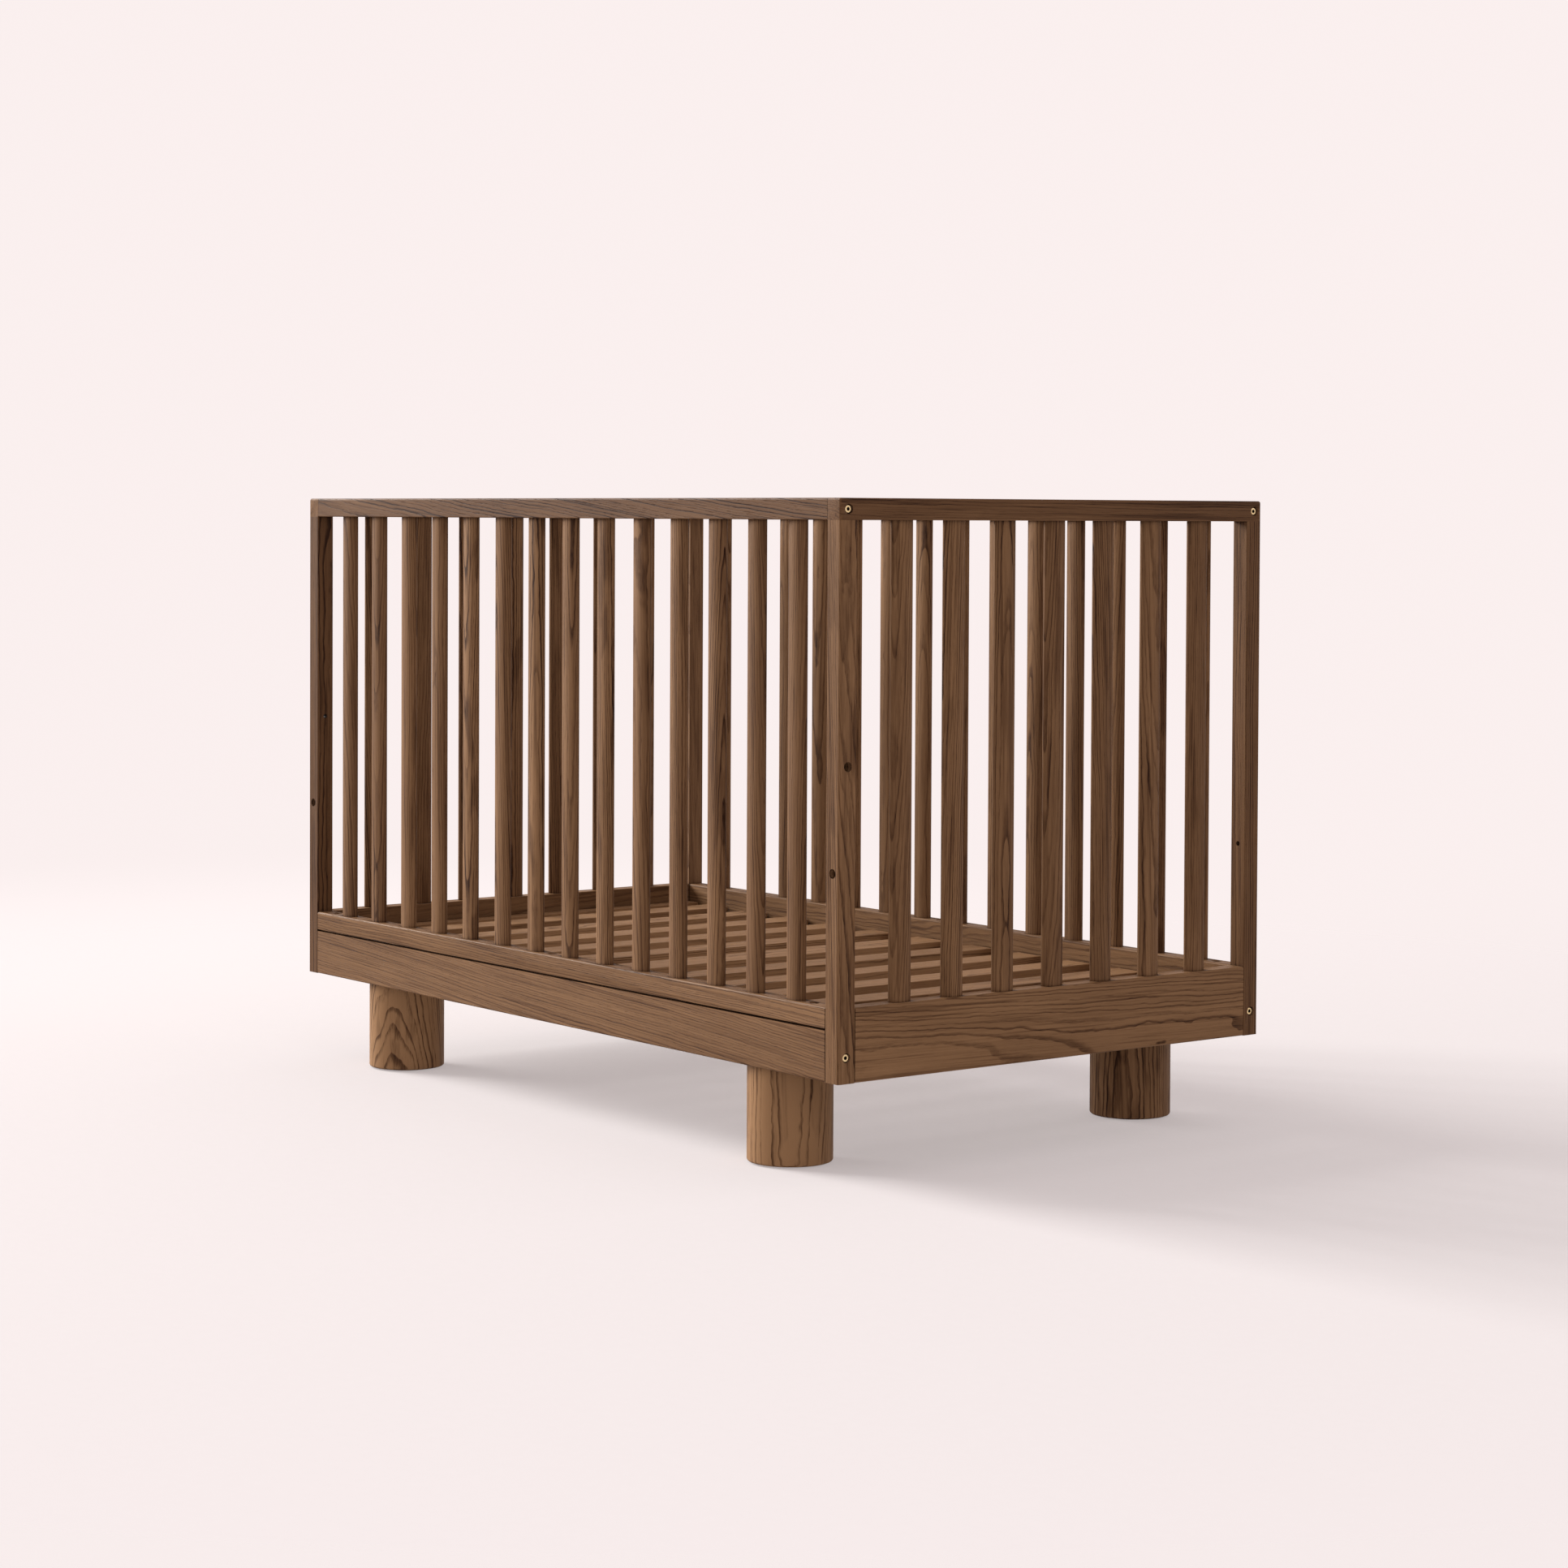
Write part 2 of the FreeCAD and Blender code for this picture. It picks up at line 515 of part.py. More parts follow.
def make_leg(end, side):
    """A turned round leg with a brass insert and a dowel in its top."""
    along, across = ENDS[end], SIDES[side]
    leg = rod(f"{end}_{side}_leg", "size.leg_diameter / 2", "size.leg_height - size.glide_thickness")
    round_edges(leg, "size.leg_edge_radius", lambda d, m: d.Length == 0 and m.z < ON_FACE, "lower_edge")
    top = "size.leg_height - size.glide_thickness"
    bore(leg, "insert", "size.leg_insert_radius", "size.leg_insert_length + size.leg_insert_hole_spare",
         ("0", "0", top), "-Z")
    bore(leg, "dowel", "size.dowel_radius", "size.leg_dowel_length / 2",
         (f"{along} * size.leg_dowel_offset", "0", top), "-Z")
    place(leg, f"{along} * size.leg_from_middle_x", f"{across} * size.leg_from_middle_y",
          "size.glide_thickness")
    return keep(leg)


# ---------------------------------------------------------------- slatted base

def slat_places():
    """Each slat's middle and width, from the head end to the foot end."""
    reach = DIMENSIONS["slats_each_way"]
    places = []
    for step in range(-reach, reach + 1):
        if step == 0:
            places.append(("0", "size.centre_slat_width"))
        else:
            sign = 1 if step > 0 else -1
            middle = f"{sign} * (size.first_slat + {abs(step) - 1} * size.slat_pitch)"
            places.append((middle, "size.slat_width"))
    return places


def make_base():
    """The base lies loose on the bearers and ledges: a frame under slats that run across it."""
    rail_height = "(size.base_depth - size.slat_thickness + size.housing_depth)"
    run = f"2 * ({BASE_END_X} - size.member_width)"
    for side, across in SIDES.items():
        member = board(f"base_{side}_member", "X", (run, "size.member_width", rail_height),
                       ("0", f"{across} * ({BASE_SIDE_Y} - size.member_width / 2)"), BEARER_TOP)
        for end, sign in ENDS.items():
            start = f"{sign} * size.first_slat - size.slat_width / 2"
            housing = notch(member, f"{end}_housing",
                            ("size.slat_width", "size.member_width", "size.housing_depth"),
                            (start, "-size.member_width / 2", f"{rail_height} - size.housing_depth"))
            doc.recompute()
            row = repeat(member, housing, "X", "size.slat_pitch", "size.slats_each_way")
            row.Reversed = sign < 0
            doc.recompute()
        notch(member, "centre_housing",
              ("size.centre_slat_width", "size.member_width", "size.housing_depth"),
              ("-size.centre_slat_width / 2", "-size.member_width / 2",
               f"{rail_height} - size.housing_depth"))
        keep(member)
    for end, along in ENDS.items():
        member = board(f"base_{end}_member", "Y",
                       ("size.member_width", f"2 * {BASE_SIDE_Y}", "size.base_depth"),
                       (f"{along} * ({BASE_END_X} - size.member_width / 2)", "0"), BEARER_TOP)
        round_edges(member, "size.edge_radius", lambda d, m: runs_along(d, "Y"))
        keep(member)
    upper = DIMENSIONS["slat_thickness"] - ON_FACE
    for number, (middle, width) in enumerate(slat_places(), start=1):
        slat = board(f"base_slat_{number:02d}", "Y", (width, f"2 * {BASE_SIDE_Y}", "size.slat_thickness"),
                     (middle, "0"), f"{BASE_TOP} - size.slat_thickness")
        round_edges(slat, "size.slat_radius", lambda d, m: runs_along(d, "Y") and m.z > upper, "top_edges")
        keep(slat)


# ---------------------------------------------------------------- hardware and dowels

def make_hardware():
    head_seat_x = "(size.length / 2 - size.counterbore_depth)"
    nut_x = f"({INNER_X} - size.nut_from_rail_end)"
    rows = (("corner", TOP_BOLT_HEIGHT, "Z"), ("skirt", "size.skirt_bolt_height", "Y"))
    for label, height, nut_axis in rows:
        bolt = cap_bolt(f"{label}_bolt", "bolt", "size.bolt_length")
        place(bolt, head_seat_x, POST_Y, height, "X")
        group(f"{label}_bolts", in_all_corners(bolt))
        start_y = POST_Y if nut_axis == "Z" else f"{POST_Y} - size.nut_length / 2"
        start_z = f"{height} - size.nut_length / 2" if nut_axis == "Z" else height
        nut = barrel_nut(f"{label}_nut", nut_x, start_y, start_z, nut_axis)
        group(f"{label}_barrel_nuts", in_all_corners(nut))

    panel_bolts = []
    inserts = []
    for name, x in panel_bolt_places():
        bolt = cap_bolt(f"panel_{name}", "bolt", "size.panel_bolt_length")
        place(bolt, x, POST_Y, f"{LOW_RAIL_TOP} - size.panel_counterbore_depth")
        panel_bolts += on_both_sides(bolt)
        insert = rod(f"panel_{name}_insert", "size.insert_radius", "size.insert_length")
        bore(insert, "thread", "size.bolt_radius", "size.insert_length", ("0", "0", "0"))
        place(insert, x, POST_Y, f"{SKIRT_TOP} - size.insert_length")
        inserts += on_both_sides(insert)
    group("side_panel_bolts", panel_bolts)
    group("side_panel_inserts", inserts)

    seat = f"{BEARER_TOP} - size.leg_counterbore_depth"
    leg_bolt = cap_bolt("leg_bolt", "leg_bolt", "size.leg_bolt_length")
    place(leg_bolt, "size.leg_from_middle_x", "size.leg_from_middle_y", f"{seat} + size.washer_thickness")
    group("leg_bolts", in_all_corners(leg_bolt))
    washer = rod("leg_washer", "size.washer_radius", "size.washer_thickness")
    bore(washer, "hole", "size.leg_bolt_radius", "size.washer_thickness", ("0", "0", "0"))
    place(washer, "size.leg_from_middle_x", "size.leg_from_middle_y", seat)
    group("leg_washers", in_all_corners(washer))
    insert = rod("leg_insert", "size.leg_insert_radius", "size.leg_insert_length")
    bore(insert, "thread", "size.leg_bolt_radius", "size.leg_insert_length", ("0", "0", "0"))
    place(insert, "size.leg_from_middle_x", "size.leg_from_middle_y",
          "size.leg_height - size.leg_insert_length")
    group("leg_inserts", in_all_corners(insert))
    glide = rod("floor_glide", "size.glide_diameter / 2", "size.glide_thickness")
    place(glide, "size.leg_from_middle_x", "size.leg_from_middle_y", "0")
    group("floor_glides", in_all_corners(glide))

    screws = []
    for number, x in enumerate(screw_places(), start=1):
        screw = rod(f"ledge_screw_{number}", "size.screw_radius", "size.screw_length")
        head = screw.newObject("PartDesign::AdditiveCylinder", f"ledge_screw_head_{number}")
        head.setExpression("Radius", "size.screw_head_radius")
        head.setExpression("Height", "size.screw_head_length")
        place(screw, x, f"{INNER_Y} - size.ledge_size", f"{BEARER_TOP} - size.ledge_size / 2", "Y")
        screws += on_both_sides(screw)
    group("ledge_screws", screws)


def make_dowels():
    rail_dowels = []
    for name, height in (("low", "size.low_dowel_height"), ("high", "size.high_dowel_height")):
        dowel = rod(f"end_rail_{name}_dowel", "size.dowel_radius", "size.dowel_length")
        place(dowel, POST_X, f"{INNER_Y} - size.dowel_length / 2", height, "Y")
        rail_dowels += in_all_corners(dowel)
    group("end_rail_dowels", rail_dowels)
    post_dowel = rod("post_top_dowel", "size.dowel_radius", "size.post_dowel_length")
    place(post_dowel, POST_X, POST_Y, f"{RAIL_BOTTOM} + size.post_dowel_in_rail - size.post_dowel_length")
    group("post_top_dowels", in_all_corners(post_dowel))
    bearer_dowels = []
    for name, shift in (("inner", -1), ("outer", 1)):
        dowel = rod(f"{name}_bearer_dowel", "size.dowel_radius", "size.dowel_length")
        place(dowel, f"size.leg_from_middle_x + {shift} * size.leg_dowel_offset",
              f"{INNER_Y} - size.dowel_length / 2", "size.leg_height + size.bearer_thickness / 2", "Y")
        bearer_dowels += in_all_corners(dowel)
    group("bearer_dowels", bearer_dowels)
    leg_dowel = rod("leg_dowel", "size.dowel_radius", "size.leg_dowel_length")
    place(leg_dowel, "size.leg_from_middle_x + size.leg_dowel_offset", "size.leg_from_middle_y",
          "size.leg_height - size.leg_dowel_length / 2")
    group("leg_dowels", in_all_corners(leg_dowel))


# ---------------------------------------------------------------- assembly

for end_name in ENDS:
    make_end_rails(end_name)
    make_bearer(end_name)
    for side_name in SIDES:
        make_post(end_name, side_name)
        make_leg(end_name, side_name)
for side_name in SIDES:
    make_side_panel(side_name)
    make_skirt(side_name)
    make_ledge(side_name)
make_base()
make_hardware()
make_dowels()
doc.recompute()

# ---------------------------------------------------------------- checks and files

faults = [o.Name for o in doc.Objects if "Invalid" in o.State or "Error" in o.State]
if faults:
    raise SystemExit(f"failed objects: {faults}")
for part in parts:
    if part.Shape.isNull() or not part.Shape.isValid():
        raise SystemExit(f"bad shape: {part.Label}")

os.makedirs("parts", exist_ok=True)
for part in parts:
    part.Shape.exportStep(f"parts/{part.Label}.step")
    print(part.Label, len(part.Shape.Solids), "solids", round(part.Shape.Volume / 1000, 1), "cm3")
print(len(parts), "nodes written")
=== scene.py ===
# %% [markdown]
# A slatted wooden playpen, finished in Blender
#
# The real object is a playpen of cot size in dark-stained ash: two end panels and two side panels
# of oval spindles, skirts below them, a slatted base inside and four thick round legs. The design
# comes packed from CAD and is loaded as a fixed frame. This script gives every board its grain,
# remakes what repeats with Geometry Nodes, turns the legs and the bolts, and sets up a plain
# studio.

# %% The frame
import math
import random

import bmesh
import bpy
from mathutils import Matrix, Vector


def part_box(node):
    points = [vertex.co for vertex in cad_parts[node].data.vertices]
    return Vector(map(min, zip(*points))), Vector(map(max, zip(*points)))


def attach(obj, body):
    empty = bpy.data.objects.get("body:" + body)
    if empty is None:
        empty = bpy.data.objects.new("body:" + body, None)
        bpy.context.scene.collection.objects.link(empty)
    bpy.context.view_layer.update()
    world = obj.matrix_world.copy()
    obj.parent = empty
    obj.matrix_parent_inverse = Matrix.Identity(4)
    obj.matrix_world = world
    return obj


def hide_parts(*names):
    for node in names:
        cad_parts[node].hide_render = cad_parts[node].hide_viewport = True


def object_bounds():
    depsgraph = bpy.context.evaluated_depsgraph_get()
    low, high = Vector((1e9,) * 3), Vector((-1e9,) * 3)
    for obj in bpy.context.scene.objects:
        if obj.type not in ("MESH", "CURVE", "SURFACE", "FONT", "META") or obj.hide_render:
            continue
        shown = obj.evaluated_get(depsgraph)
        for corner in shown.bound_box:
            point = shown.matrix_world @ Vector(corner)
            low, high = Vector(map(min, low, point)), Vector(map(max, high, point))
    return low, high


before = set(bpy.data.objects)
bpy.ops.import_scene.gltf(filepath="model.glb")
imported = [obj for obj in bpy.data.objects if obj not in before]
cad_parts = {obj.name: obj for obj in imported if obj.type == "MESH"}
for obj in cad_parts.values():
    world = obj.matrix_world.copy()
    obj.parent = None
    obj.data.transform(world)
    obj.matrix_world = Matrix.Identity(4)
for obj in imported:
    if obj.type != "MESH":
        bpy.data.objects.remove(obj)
cad_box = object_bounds()
MM = 0.001
FRAME_BODY, BASE_BODY = "playpen_frame", "slatted_base"
ENDS = {"head_end": -1, "foot_end": 1}
SIDES = {"front": -1, "back": 1}
size = [round(v, 3) for v in cad_box[1] - cad_box[0]]
print("the frame has", len(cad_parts), "nodes and fills", size, "m")

# %% [markdown]
# The camera
#
# The camera comes first, so that everything after it can be judged. It is a long lens at about the
# height of the top rail, aimed at the near corner, so the rails look almost level. The camera dips
# only a little and the lens is shifted down for the rest, which keeps the posts upright.

# %% The camera
CAMERA_PLACE = Vector((4.219, -3.169, 0.879))
CAMERA_AZIMUTH = math.radians(52.63)
CAMERA_DIP = math.radians(1.415)
CAMERA_ROLL = math.radians(0.265)
SENSOR_WIDTH, FOCAL_LENGTH, LENS_SHIFT, FARTHEST_SEEN = 36, 79.41, -0.117, 200


def make_camera():
    lens = bpy.data.cameras.new("camera")
    lens.sensor_width = SENSOR_WIDTH
    lens.lens = FOCAL_LENGTH
    lens.shift_y = LENS_SHIFT
    lens.clip_end = FARTHEST_SEEN
    camera = bpy.data.objects.new("camera", lens)
    bpy.context.scene.collection.objects.link(camera)
    turn = Matrix.Rotation(CAMERA_AZIMUTH, 4, "Z") @ Matrix.Rotation(math.pi / 2 - CAMERA_DIP, 4, "X")
    camera.matrix_world = Matrix.Translation(CAMERA_PLACE) @ turn @ Matrix.Rotation(CAMERA_ROLL, 4, "Z")
    bpy.context.scene.camera = camera
    return camera


camera = make_camera()
print("camera at", [round(v, 2) for v in camera.location])

# %% [markdown]
# Formulas for finishes
#
# A shader is a network of nodes, but a finish is easier to read as a formula. The class below wraps
# the output of a node, so that adding or multiplying two of them adds the Math node that does it. A
# second class holds a material while it is made, and adds any other node from its type, settings
# and values.


# %% Formulas for finishes
class Amount:
    """A number that changes over a surface."""

    def __init__(self, finish, socket):
        self.finish = finish
        self.socket = socket

    def maths(self, operation, *values):
        return self.finish.amount("ShaderNodeMath", {"operation": operation}, dict(enumerate(values)))

    def __add__(self, other):
        return self.maths("ADD", self, other)

    def __sub__(self, other):
        return self.maths("SUBTRACT", self, other)

    def __rsub__(self, other):
        return self.maths("SUBTRACT", other, self)

    def __mul__(self, other):
        return self.maths("MULTIPLY", self, other)

    def __truediv__(self, other):
        return self.maths("DIVIDE", self, other)

    def fraction(self):
        return self.maths("FRACT", self)

    def root(self):
        return self.maths("SQRT", self)

    def between(self, low, high):
        """0 below low, 1 above high, and smooth in between."""
        return self.finish.amount(
            "ShaderNodeMapRange", {"interpolation_type": "SMOOTHSTEP"},
            {"Value": self, "From Min": low, "From Max": high}, "Result")

    __radd__ = __add__
    __rmul__ = __mul__


class Finish:
    """A material while it is made."""

    def __init__(self, name):
        self.material = bpy.data.materials.new(name)
        self.material.use_nodes = True
        self.tree = self.material.node_tree
        self.tree.nodes.clear()

    def add(self, kind, settings=None, values=None):
        """Any node: its settings are set first, then the values or links of its sockets."""
        node = self.tree.nodes.new(kind)
        for name, value in (settings or {}).items():
            setattr(node, name, value)
        for name, value in (values or {}).items():
            source = value.socket if isinstance(value, Amount) else value
            if isinstance(source, bpy.types.NodeSocket):
                self.tree.links.new(source, node.inputs[name])
            else:
                node.inputs[name].default_value = source
        return node

    def amount(self, kind, settings=None, values=None, output=0):
        return Amount(self, self.add(kind, settings, values).outputs[output])

    def scaled(self, vector, by):
        return self.add("ShaderNodeVectorMath", {"operation": "MULTIPLY"}, {0: vector, 1: by}).outputs[0]

    def noise(self, vector, scale, detail=2.0, roughness=0.5):
        """Smooth noise from 0 to 1, scaled along each of three directions, in cycles a metre."""
        return self.amount("ShaderNodeTexNoise", None, {
            "Vector": self.scaled(vector, scale), "Scale": 1.0, "Detail": detail, "Roughness": roughness})

    def mix(self, share, first, second):
        node = self.add("ShaderNodeMix", {"data_type": "RGBA"}, {0: share, 6: first, 7: second})
        return node.outputs[2]

    def shine(self, colour, roughness, height, depth, **constants):
        """Ends the material with one Principled shader and a bump of the given depth."""
        bump = self.add("ShaderNodeBump", None, {"Height": height, "Distance": depth, "Strength": 1.0})
        shader = self.add("ShaderNodeBsdfPrincipled", None, {
            "Base Color": colour, "Roughness": roughness, "Normal": bump.outputs[0], **constants})
        self.add("ShaderNodeOutputMaterial", None, {"Surface": shader.outputs[0]})
        return self.material


print("formulas ready")

# %% [markdown]
# Stained ash
#
# Ash is ring-porous: each year starts with a band of large open pores, which drink up the stain and
# go dark, and ends in dense wood that stays lighter. So the finish is a section through a log.
# Every board carries an attribute, grain, that says where in the log it was sawn: its first number
# runs along the log and the other two across it, from the pith. Rings are the distance from the
# pith, bent by slow noise, so cathedral arches, straight stripes and end grain all come out where
# they do on real boards. Two more attributes, tone and figure, say how dark a board was stained and
# how boldly its rings show. Shade is painted into the colour in crevices, from ambient occlusion,
# which darkens seats and joints, and the finish is a thin matt oil.

# %% Stained ash
RING_WIDTH = 3.5 * MM
ASH_LIGHT = (0.234, 0.131, 0.064, 1)
ASH_MIDDLE = (0.089, 0.0435, 0.0195, 1)
ASH_DARK = (0.020, 0.007, 0.003, 1)
# The amounts of stain and painted shade between which light turns to middle, and middle to dark.
LIGHT_TO_MIDDLE, MIDDLE_TO_DARK = (-0.95, 0.65), (0.45, 1.45)
# How the rings wander: the noise's cycles a metre, along the log and across it, and its reach in metres.
BENDS = (((1.8, 11.0, 11.0), 0.020), ((24.0, 34.0, 34.0), 0.0030))
# Over these distances from the pith, narrow years turn to broad ones, and pale years to dark ones.
GROWTH_SPAN, VINTAGE_SPAN = 11 * MM, 8.5 * MM
GROWTH_REACH, VINTAGE_START = 1.4, 31.0
# The part of a year in which the open pores fade out, and the part in which the next ones begin.
SPRING, NEXT_SPRING = (0.03, 0.42), (0.93, 0.995)
# The marks on the wood, in cycles a metre, along the log and across it.
PORES, FIBRE, LINES = (60.0, 1100.0, 1100.0), (7.0, 340.0, 340.0), (2.6, 175.0, 175.0)
STREAK, CLOUD, HEART = (2.2, 75.0, 75.0), (4.0, 14.0, 14.0), (7.0, 46.0, 46.0)
# How much stain each mark takes up, and how much shade is painted into crevices.
STAIN_AND_SHADE_WEIGHTS = {"rings": 0.85, "pores": 0.38, "heart": 0.55, "fibre": 0.95, "lines": 0.45, "cloud": 0.55,
          "streak": 0.45, "painted_crevice_shade": 0.9}
# Where a noise is even, its mark adds nothing.
EVEN = 0.5
# Shade is painted into corners closer than this. The oil on top hardly shines.
CREVICE_SHADE_REACH, SHEEN = 7 * MM, 0.06


def rings_of_the_log(ash, grain):
    """The place in the log after the rings have wandered, and the distance from the pith."""
    bent = grain
    for scale, reach in BENDS:
        wander = ash.add("ShaderNodeTexNoise", None, {
            "Vector": ash.scaled(grain, scale), "Scale": 1.0, "Detail": 2.0, "Roughness": 0.5})
        bend = ash.scaled(wander.outputs["Color"], (0.0, reach, reach))
        bent = ash.add("ShaderNodeVectorMath", {"operation": "ADD"}, {0: bent, 1: bend}).outputs[0]
    across = ash.add("ShaderNodeSeparateXYZ", None, {0: bent})
    side, depth = Amount(ash, across.outputs[1]), Amount(ash, across.outputs[2])
    return bent, (side * side + depth * depth).root()


def noise_of_years(ash, years):
    return ash.amount("ShaderNodeTexNoise", {"noise_dimensions": "1D"}, {
        "W": years, "Scale": 1.0, "Detail": 1.0})


def stained_ash():
    ash = Finish("stained_ash")
    grain = ash.add("ShaderNodeAttribute", {"attribute_name": "grain"}).outputs["Vector"]
    tone = ash.amount("ShaderNodeAttribute", {"attribute_name": "tone"}, None, "Fac")
    figure = ash.amount("ShaderNodeAttribute", {"attribute_name": "figure"}, None, "Fac")

    bent, radius = rings_of_the_log(ash, grain)
    growth = noise_of_years(ash, radius / GROWTH_SPAN)
    vintage = noise_of_years(ash, radius / VINTAGE_SPAN + VINTAGE_START).between(0.38, 0.66)
    season = (radius / RING_WIDTH + growth * GROWTH_REACH).fraction()
    early = (1.0 - season.between(*SPRING)) + season.between(*NEXT_SPRING)

    pores = ash.noise(grain, PORES, 1.0).between(0.53, 0.64) * (0.25 + 0.75 * early)
    fibre = ash.noise(grain, FIBRE, 3.0, 0.62)
    lines = ash.noise(grain, LINES, 2.0, 0.6).between(0.54, 0.66)
    streak = ash.noise(grain, STREAK)
    cloud = ash.noise(grain, CLOUD)
    heart = ash.noise(bent, HEART).between(0.55, 0.64) * (figure - 0.85).between(0.0, 0.5)
    # Ambient occlusion: it sets the shade painted into crevices, seats and joints below.
    open_air = ash.amount("ShaderNodeAmbientOcclusion", {"samples": 6}, {"Distance": CREVICE_SHADE_REACH}, "AO")

    rings = early * (0.35 + 0.85 * vintage) * (0.65 + 0.7 * streak)
    # The last term is painted shade, dark where ambient occlusion finds a crevice.
    stain_and_shade = ((rings * STAIN_AND_SHADE_WEIGHTS["rings"] + pores * STAIN_AND_SHADE_WEIGHTS["pores"]) * figure + heart * STAIN_AND_SHADE_WEIGHTS["heart"]
             + (fibre - EVEN) * STAIN_AND_SHADE_WEIGHTS["fibre"] + (lines - 0.2) * STAIN_AND_SHADE_WEIGHTS["lines"]
             + (cloud - EVEN) * STAIN_AND_SHADE_WEIGHTS["cloud"] + (streak - EVEN) * STAIN_AND_SHADE_WEIGHTS["streak"] + tone
             + (1.0 - open_air.between(0.25, 0.80)) * STAIN_AND_SHADE_WEIGHTS["painted_crevice_shade"])
    colour = ash.mix(stain_and_shade.between(*LIGHT_TO_MIDDLE), ASH_LIGHT, ASH_MIDDLE)
    colour = ash.mix(stain_and_shade.between(*MIDDLE_TO_DARK), colour, ASH_DARK)
    height = 1.0 - pores * 0.8 - early * 0.25 + fibre * 0.25
    roughness = 0.52 + pores * 0.20 + (fibre - EVEN) * 0.12
    return ash.shine(colour, roughness, height, 0.22 * MM, **{"Specular IOR Level": SHEEN})


wood = stained_ash()
print("stained ash has", len(wood.node_tree.nodes), "nodes")

# %% [markdown]
# Boards
#
# The rails, posts, skirts, bearers, ledges and the base's frame keep the shape that CAD gave them,
# with their bores, seats and mortises. A copy of each is taken, because loose triangles can't be
# shaded smoothly: its doubled corners are merged, its end faces are drawn in by a hair so that each
# joint shows as a fine line, its hard edges are marked, and its normals are weighted by area so
# that the rounded edges shine and the faces stay flat. Then each board gets its own place in the
# log.

# %% Boards
SHARP_ANGLE = math.radians(35)
MERGE_DISTANCE = 0.01 * MM
JOINT_LINE = 0.6 * MM
# These boards' ends show, or meet others side on, so they keep their full length.
FULL_LENGTH = ("_end_top_rail", "_post")
LOG_LENGTH = 8.0
logs = random.Random(11)


def plain(name, source_mesh):
    """A piece with its hard edges marked and its normals weighted by area, as a plain mesh."""
    source_mesh.set_sharp_from_angle(angle=SHARP_ANGLE)
    draft = bpy.data.objects.new(f"{name}_draft", source_mesh)
    bpy.context.scene.collection.objects.link(draft)
    weighting = draft.modifiers.new("weighting", "WEIGHTED_NORMAL")
    weighting.keep_sharp = True
    shaped = draft.evaluated_get(bpy.context.evaluated_depsgraph_get())
    finished = bpy.data.meshes.new_from_object(shaped)
    finished.name = name
    bpy.data.objects.remove(draft)
    piece = bpy.data.objects.new(name, finished)
    bpy.context.scene.collection.objects.link(piece)
    return piece


def from_log(mesh, along, centre, pith, lean, tone, figure):
    """Writes where in the log each corner of a board was: along it, and across it from the pith."""
    order = {"X": (0, 1, 2), "Y": (1, 0, 2), "Z": (2, 0, 1)}[along]
    shift = logs.uniform(0.0, LOG_LENGTH)
    spots = []
    for corner in mesh.vertices:
        local = corner.co - centre
        run, side, depth = (local[axis] for axis in order)
        spots += [run + shift, side + pith[0] + lean[0] * run, depth + pith[1] + lean[1] * run]
    mesh.attributes.new("grain", "FLOAT_VECTOR", "POINT").data.foreach_set("vector", spots)
    for name, value in (("tone", tone), ("figure", figure)):
        mesh.attributes.new(name, "FLOAT", "POINT").data.foreach_set("value", [value] * len(mesh.vertices))


def open_joints(shape, along, low, high):
    """Draws a board's end faces in by a hair, so that each joint shows as a fine dark line."""
    axis = "XYZ".index(along)
    for corner in shape.verts:
        if corner.co[axis] < low[axis] + JOINT_LINE:
            corner.co[axis] += JOINT_LINE
        elif corner.co[axis] > high[axis] - JOINT_LINE:
            corner.co[axis] -= JOINT_LINE


def finish_board(node, along, body, pith, lean, tone, figure):
    """A CAD board's merged copy, with its grain and stain, riding on its body."""
    mesh = bpy.data.meshes.new(f"{node}_copy")
    merged = bmesh.new()
    merged.from_mesh(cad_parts[node].data)
    bmesh.ops.remove_doubles(merged, verts=merged.verts, dist=MERGE_DISTANCE)
    for face in merged.faces:
        face.smooth = True
    low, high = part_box(node)
    if not node.endswith(FULL_LENGTH):
        open_joints(merged, along, low, high)
    merged.to_mesh(mesh)
    merged.free()
    from_log(mesh, along, (low + high) / 2, pith, lean, tone, figure)
    piece = plain(f"{node}_board", mesh)
    piece.data.materials.clear()
    piece.data.materials.append(wood)
    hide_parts(node)
    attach(piece, body)
    return piece


def somewhere_in_log():
    """A sawmill's choice: the pith lies outside the board, on any side of it."""
    angle, distance = logs.uniform(0, math.tau), logs.uniform(*PITH_DISTANCE) * MM
    pith = (distance * math.cos(angle), distance * math.sin(angle))
    lean = (logs.uniform(-BOARD_LEAN, BOARD_LEAN), logs.uniform(-BOARD_LEAN, BOARD_LEAN))
    return pith, lean, logs.uniform(-BOARD_TONE, BOARD_TONE), logs.uniform(*BOARD_FIGURE)


PITH_DISTANCE = (45, 130)
BOARD_LEAN, BOARD_TONE, BOARD_FIGURE = 0.03, 0.12, (0.5, 0.9)
# The base is stained less than the rest.
BASE_TONE = -0.75
# Boards given one by one for where they show: the pith's offset across the board in metres, the lean
# of the grain, the tone, and how bold the figure is.
PICKED = {
    "foot_end_front_post": ((0.055, 0.006), (0.035, 0.004), -0.04, 1.1),
    "foot_end_back_post": ((0.040, 0.060), (0.010, -0.012), 0.34, 0.8),
    "head_end_front_post": ((0.060, -0.050), (0.012, 0.010), 0.56, 0.8),
    "foot_end_bottom_rail": ((0.085, 0.030), (0.012, 0.020), -0.22, 0.88),
    "foot_end_top_rail": ((0.020, 0.150), (0.010, 0.015), 0.44, 0.45),
    "front_top_rail": ((0.100, 0.070), (0.02, 0.10), 0.54, 0.9),
    "front_bottom_rail": ((0.045, 0.120), (0.01, 0.02), 0.0, 1.0),
    "front_skirt_rail": ((0.090, 0.160), (0.015, 0.055), 0.10, 0.7),
}


